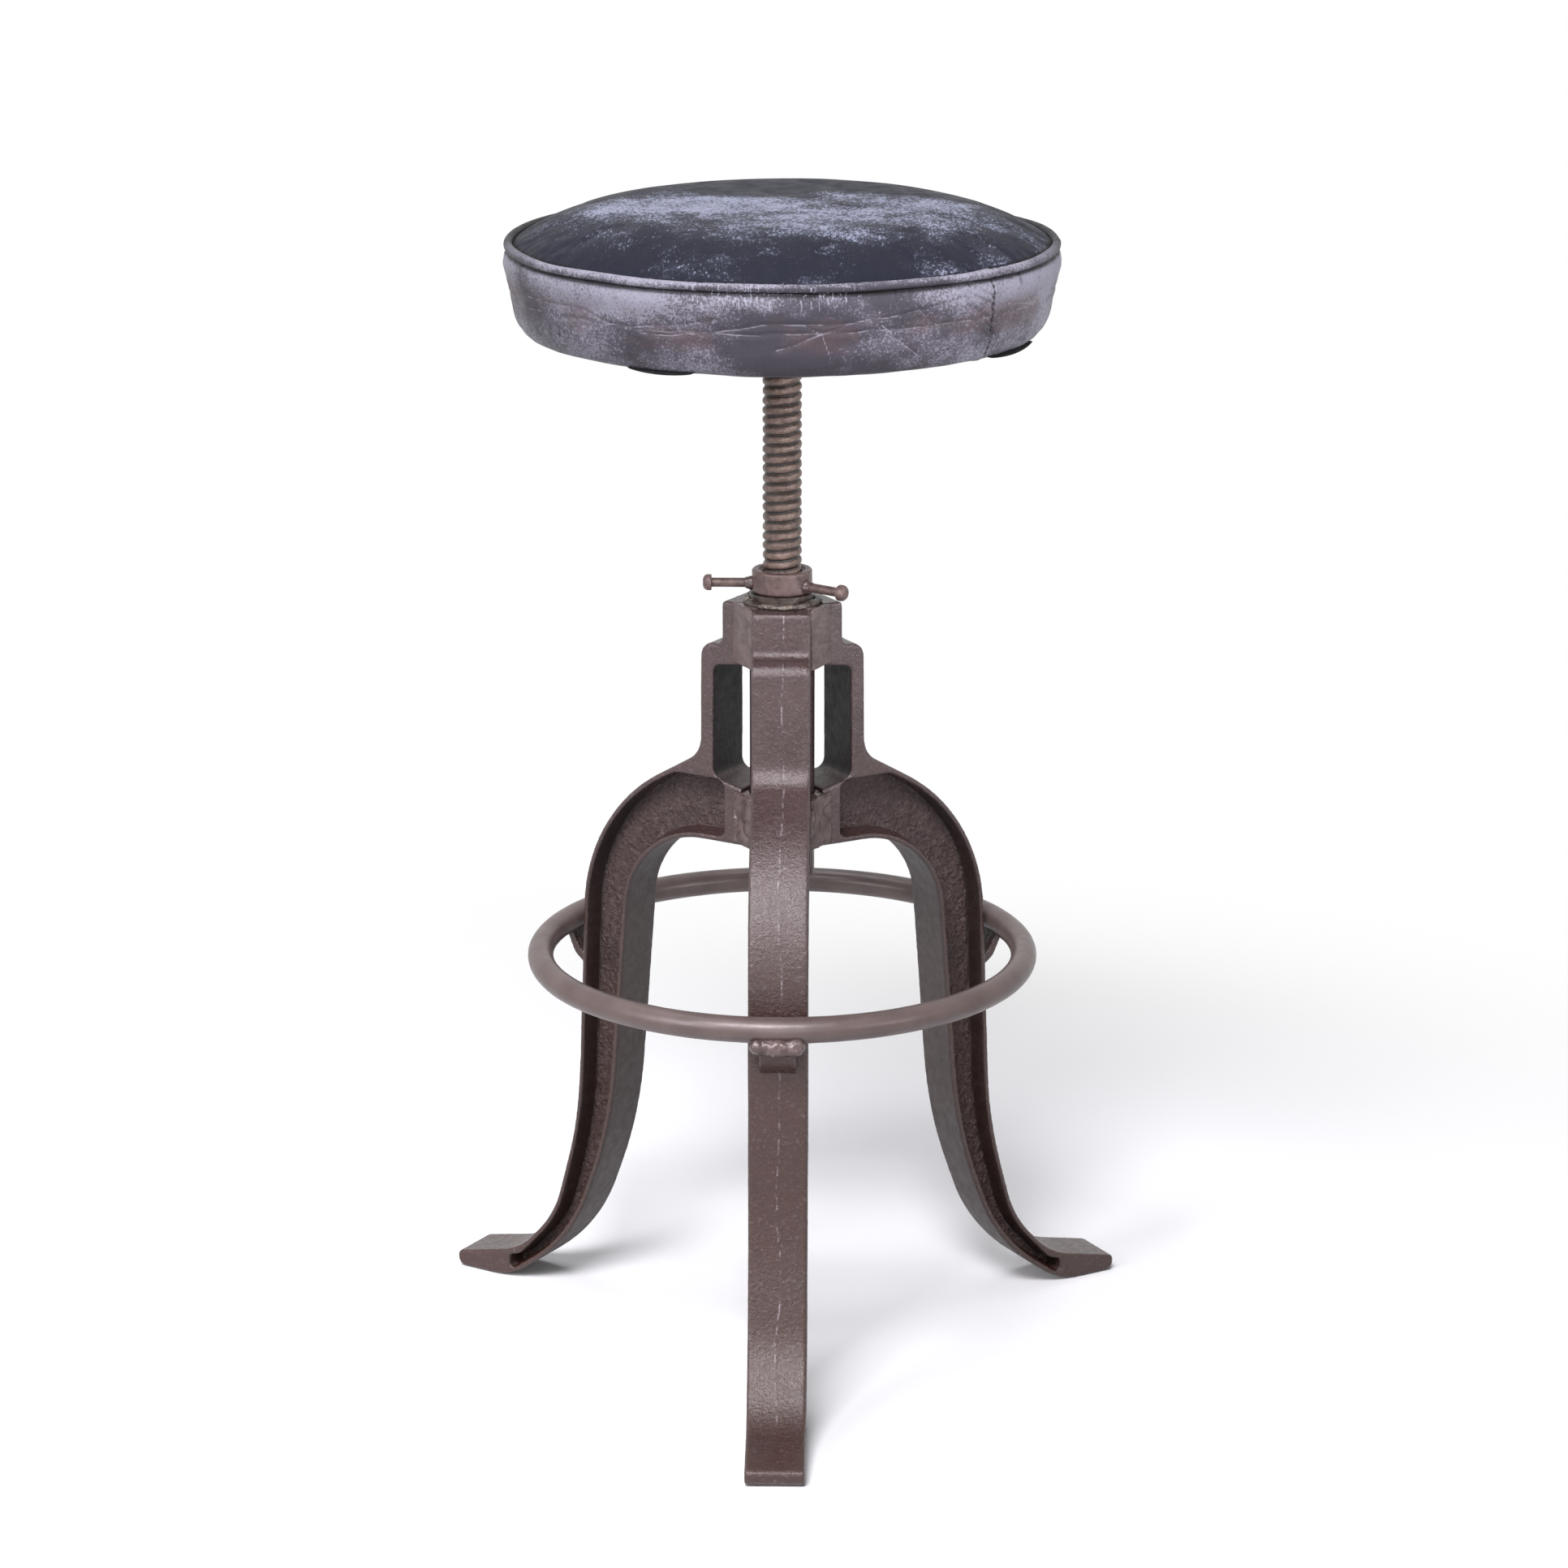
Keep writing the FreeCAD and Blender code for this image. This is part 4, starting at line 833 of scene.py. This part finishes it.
def piping():
    """The welt in the seam, with pinches and the step where its ends overlap."""
    around = np.linspace(0, 2 * math.pi, 1441)[:-1]
    across = np.linspace(0, 2 * math.pi, 21)[:-1]
    u, v = np.meshgrid(around, across, indexing="ij")
    out = np.stack([np.cos(u), np.sin(u), np.zeros_like(u)], -1)
    radial = out * np.cos(v)[..., None] + np.array([0, 0, 1.0]) * np.sin(v)[..., None]
    flat = np.stack([u.ravel() * 0.174, u.ravel() * 0, u.ravel() * 0], -1)
    pinch = np.abs(noise(flat, 0.0048, 151)).reshape(u.shape)
    more = 0.3 + 0.7 * step(np.cos(u - math.radians(-60)), 0.3, 0.95)
    radius = 0.0030 - (1 - step(pinch, 0, 0.22)) * 0.00030 * more
    radius += noise(flat, 0.03, 152).reshape(u.shape) * 0.00015
    past = (u - (SEAM_ANGLE % (2 * math.pi))) * 0.174
    radius += step(past, -0.016, -0.001) * (1 - step(past, -0.001, 0.0003)) * 0.0006
    wave = noise(flat, 0.05, 153).reshape(u.shape) * 0.0005
    welt_radius, welt_height = 0.1738, 0.744
    points = out * (welt_radius + 0 * u)[..., None] + radial * radius[..., None]
    points[..., 2] += welt_height + wave
    obj = add_object("welt", grid_mesh("welt", points, True, True), LEATHER_WELT)
    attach(obj, "seat")
    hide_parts("seat_piping")


piping()


def stitches():
    """Stitches down the seam of the band, lying on the cover."""
    work = bmesh.new()
    ring = np.hypot(COVER[:, 0], COVER[:, 1])
    turn = np.arctan2(COVER[:, 1], COVER[:, 0])
    count, highest, apart = 13, 0.7365, 0.0036
    for k in range(count):
        height = highest - k * apart
        angle = seam_turn(height)
        near = (np.abs(turn - angle) < 0.014) & (np.abs(COVER[:, 2] - height) < 0.002)
        radius = float(np.median(ring[near & (ring > 0.15)])) + 0.0001
        made = bmesh.ops.create_uvsphere(work, u_segments=8, v_segments=6, radius=0.00055)
        for vertex in made["verts"]:
            vertex.co.z *= 2.4
        outward = Vector((math.cos(angle), math.sin(angle), 0))
        bmesh.ops.translate(work, verts=made["verts"], vec=outward * radius + Vector((0, 0, height)))
    mesh = bpy.data.meshes.new("band_stitches")
    work.to_mesh(mesh)
    work.free()
    obj = add_object("band_stitches", mesh, THREAD)
    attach(obj, "seat")


stitches()


def hem_scraps():
    """Two ends of the black hem that hang out below the band."""
    edge = ((0.1585, 0.0), (0.1640, 0.6), (0.1646, 1.0), (0.1630, 1.0), (0.1570, 0.3))
    for number, (first, last) in enumerate(((-124, -108), (-38, -16))):
        turns = np.radians(np.linspace(first, last, 25))
        share = np.sin(np.linspace(0, math.pi, 25)) ** 0.6
        rows = []
        for radius, drop in edge:
            height = 0.6892 - drop * 0.0024 * share
            rows.append(np.stack([radius * np.cos(turns), radius * np.sin(turns), height], -1))
        obj = add_object("hem_%d" % number, grid_mesh("hem_%d" % number, np.array(rows)), CLOTH)
        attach(obj, "seat")


hem_scraps()

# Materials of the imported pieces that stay


def dress(material, *names):
    for name in names:
        mesh = NODES[name].data
        if len(NODES[name].material_slots):
            for slot in NODES[name].material_slots:
                slot.material = material
        else:
            mesh.materials.append(material)


dress(PIPE, "centre_pipe")
dress(COLLAR, "lock_handle_left", "lock_handle_right")
dress(GREASE, "screw_nut")
dress(INNER, "stop_ring", "stop_washer", "stop_bolt", "seat_plate", "plate_bolts")
dress(WELD, "plate_weld")
dress(PLY, "seat_board")
dress(CLOTH, "dust_cover")

# Floor, light and camera


def floor():
    """A pale floor that keeps the shadow near the stool and fades out further away."""
    n = Nodes("floor")
    n.finish((0.9, 0.9, 0.9, 1.0), 0.9, specular=0.1)
    mesh = bpy.data.meshes.new("floor")
    mesh.from_pydata([(-9, -9, 0), (9, -9, 0), (9, 9, 0), (-9, 9, 0)], [], [(0, 1, 2, 3)])
    obj = add_object("floor", mesh, n.material)
    obj.location.z = -0.0005
    x, y = n.split()[:2]
    far = n.math("SQRT", n.math("ADD", n.math("MULTIPLY", x, x), n.math("MULTIPLY", y, y)))
    clear = n.tree.nodes.new("ShaderNodeBsdfTransparent")
    blend = n.tree.nodes.new("ShaderNodeMixShader")
    n.link(n.remap(far, 0.35, 1.1), blend.inputs[0])
    n.link(n.shader.outputs[0], blend.inputs[1])
    n.link(clear.outputs[0], blend.inputs[2])
    n.link(blend.outputs[0], n.out.inputs[0])


floor()


def world():
    """White where it is seen or mirrored; as a light, pale in front and dark behind the stool."""
    sky = bpy.data.worlds.new("studio")
    sky.use_nodes = True
    tree = sky.node_tree
    tree.nodes.clear()
    out = tree.nodes.new("ShaderNodeOutputWorld")
    seen = tree.nodes.new("ShaderNodeBackground")
    seen.inputs["Color"].default_value = (1, 1, 1, 1)
    seen.inputs["Strength"].default_value = 1.0
    lit = tree.nodes.new("ShaderNodeBackground")
    lit.inputs["Color"].default_value = (1, 1, 1, 1)
    way = tree.nodes.new("ShaderNodeTexCoord")
    parts = tree.nodes.new("ShaderNodeSeparateXYZ")
    tree.links.new(way.outputs["Generated"], parts.inputs[0])
    front = tree.nodes.new("ShaderNodeMapRange")
    for key, number in (("From Min", 0.35), ("From Max", -0.9), ("To Min", 0.06), ("To Max", 0.24)):
        front.inputs[key].default_value = number
    tree.links.new(parts.outputs["Y"], front.inputs["Value"])
    tree.links.new(front.outputs["Result"], lit.inputs["Strength"])
    path = tree.nodes.new("ShaderNodeLightPath")
    shown = path.outputs["Is Camera Ray"]
    for key in ("Is Glossy Ray", "Is Transmission Ray"):
        either = tree.nodes.new("ShaderNodeMath")
        either.operation = "MAXIMUM"
        tree.links.new(shown, either.inputs[0])
        tree.links.new(path.outputs[key], either.inputs[1])
        shown = either.outputs[0]
    blend = tree.nodes.new("ShaderNodeMixShader")
    tree.links.new(shown, blend.inputs[0])
    tree.links.new(lit.outputs[0], blend.inputs[1])
    tree.links.new(seen.outputs[0], blend.inputs[2])
    tree.links.new(blend.outputs[0], out.inputs[0])
    bpy.context.scene.world = sky


world()


def area(name, place, target, width, height, power):
    data = bpy.data.lights.new(name, "AREA")
    data.shape = "RECTANGLE"
    data.size = width
    data.size_y = height
    data.energy = power
    data.color = (0.96, 0.95, 1.0)
    obj = bpy.data.objects.new(name, data)
    obj.location = place
    obj.rotation_euler = (Vector(target) - Vector(place)).to_track_quat("-Z", "Y").to_euler()
    obj.visible_camera = False
    bpy.context.collection.objects.link(obj)
    return data


area("key", (-2.4, -2.4, 1.8), (0, 0, 0.42), 1.4, 1.4, 72)
area("front", (0.2, -3.9, 1.25), (0, 0, 0.40), 1.7, 1.2, 22)
area("high", (-0.45, -2.0, 2.7), (0, 0, 0.40), 1.3, 0.9, 125)
area("top", (-0.3, 0.35, 2.7), (0, 0, 0.75), 1.4, 1.4, 26)
area("side", (1.05, -0.95, 0.85), (0, 0, 0.73), 0.5, 0.4, 1.3).spread = math.radians(40)

camera_place, camera_tilt = (0.0549, -2.8890, 1.22295), 0.2821
lens = bpy.data.cameras.new("camera")
lens.lens = 105.2
lens.sensor_width = 36.0
lens.shift_x = 0.00116
lens.clip_start = 0.1
camera = bpy.data.objects.new("camera", lens)
camera.location = camera_place
heading = math.atan2(camera_place[0], -camera_place[1])
camera.rotation_euler = (math.radians(90) - camera_tilt, 0, heading)
bpy.context.collection.objects.link(camera)
bpy.context.scene.camera = camera
bpy.context.scene.view_settings.view_transform = "Standard"
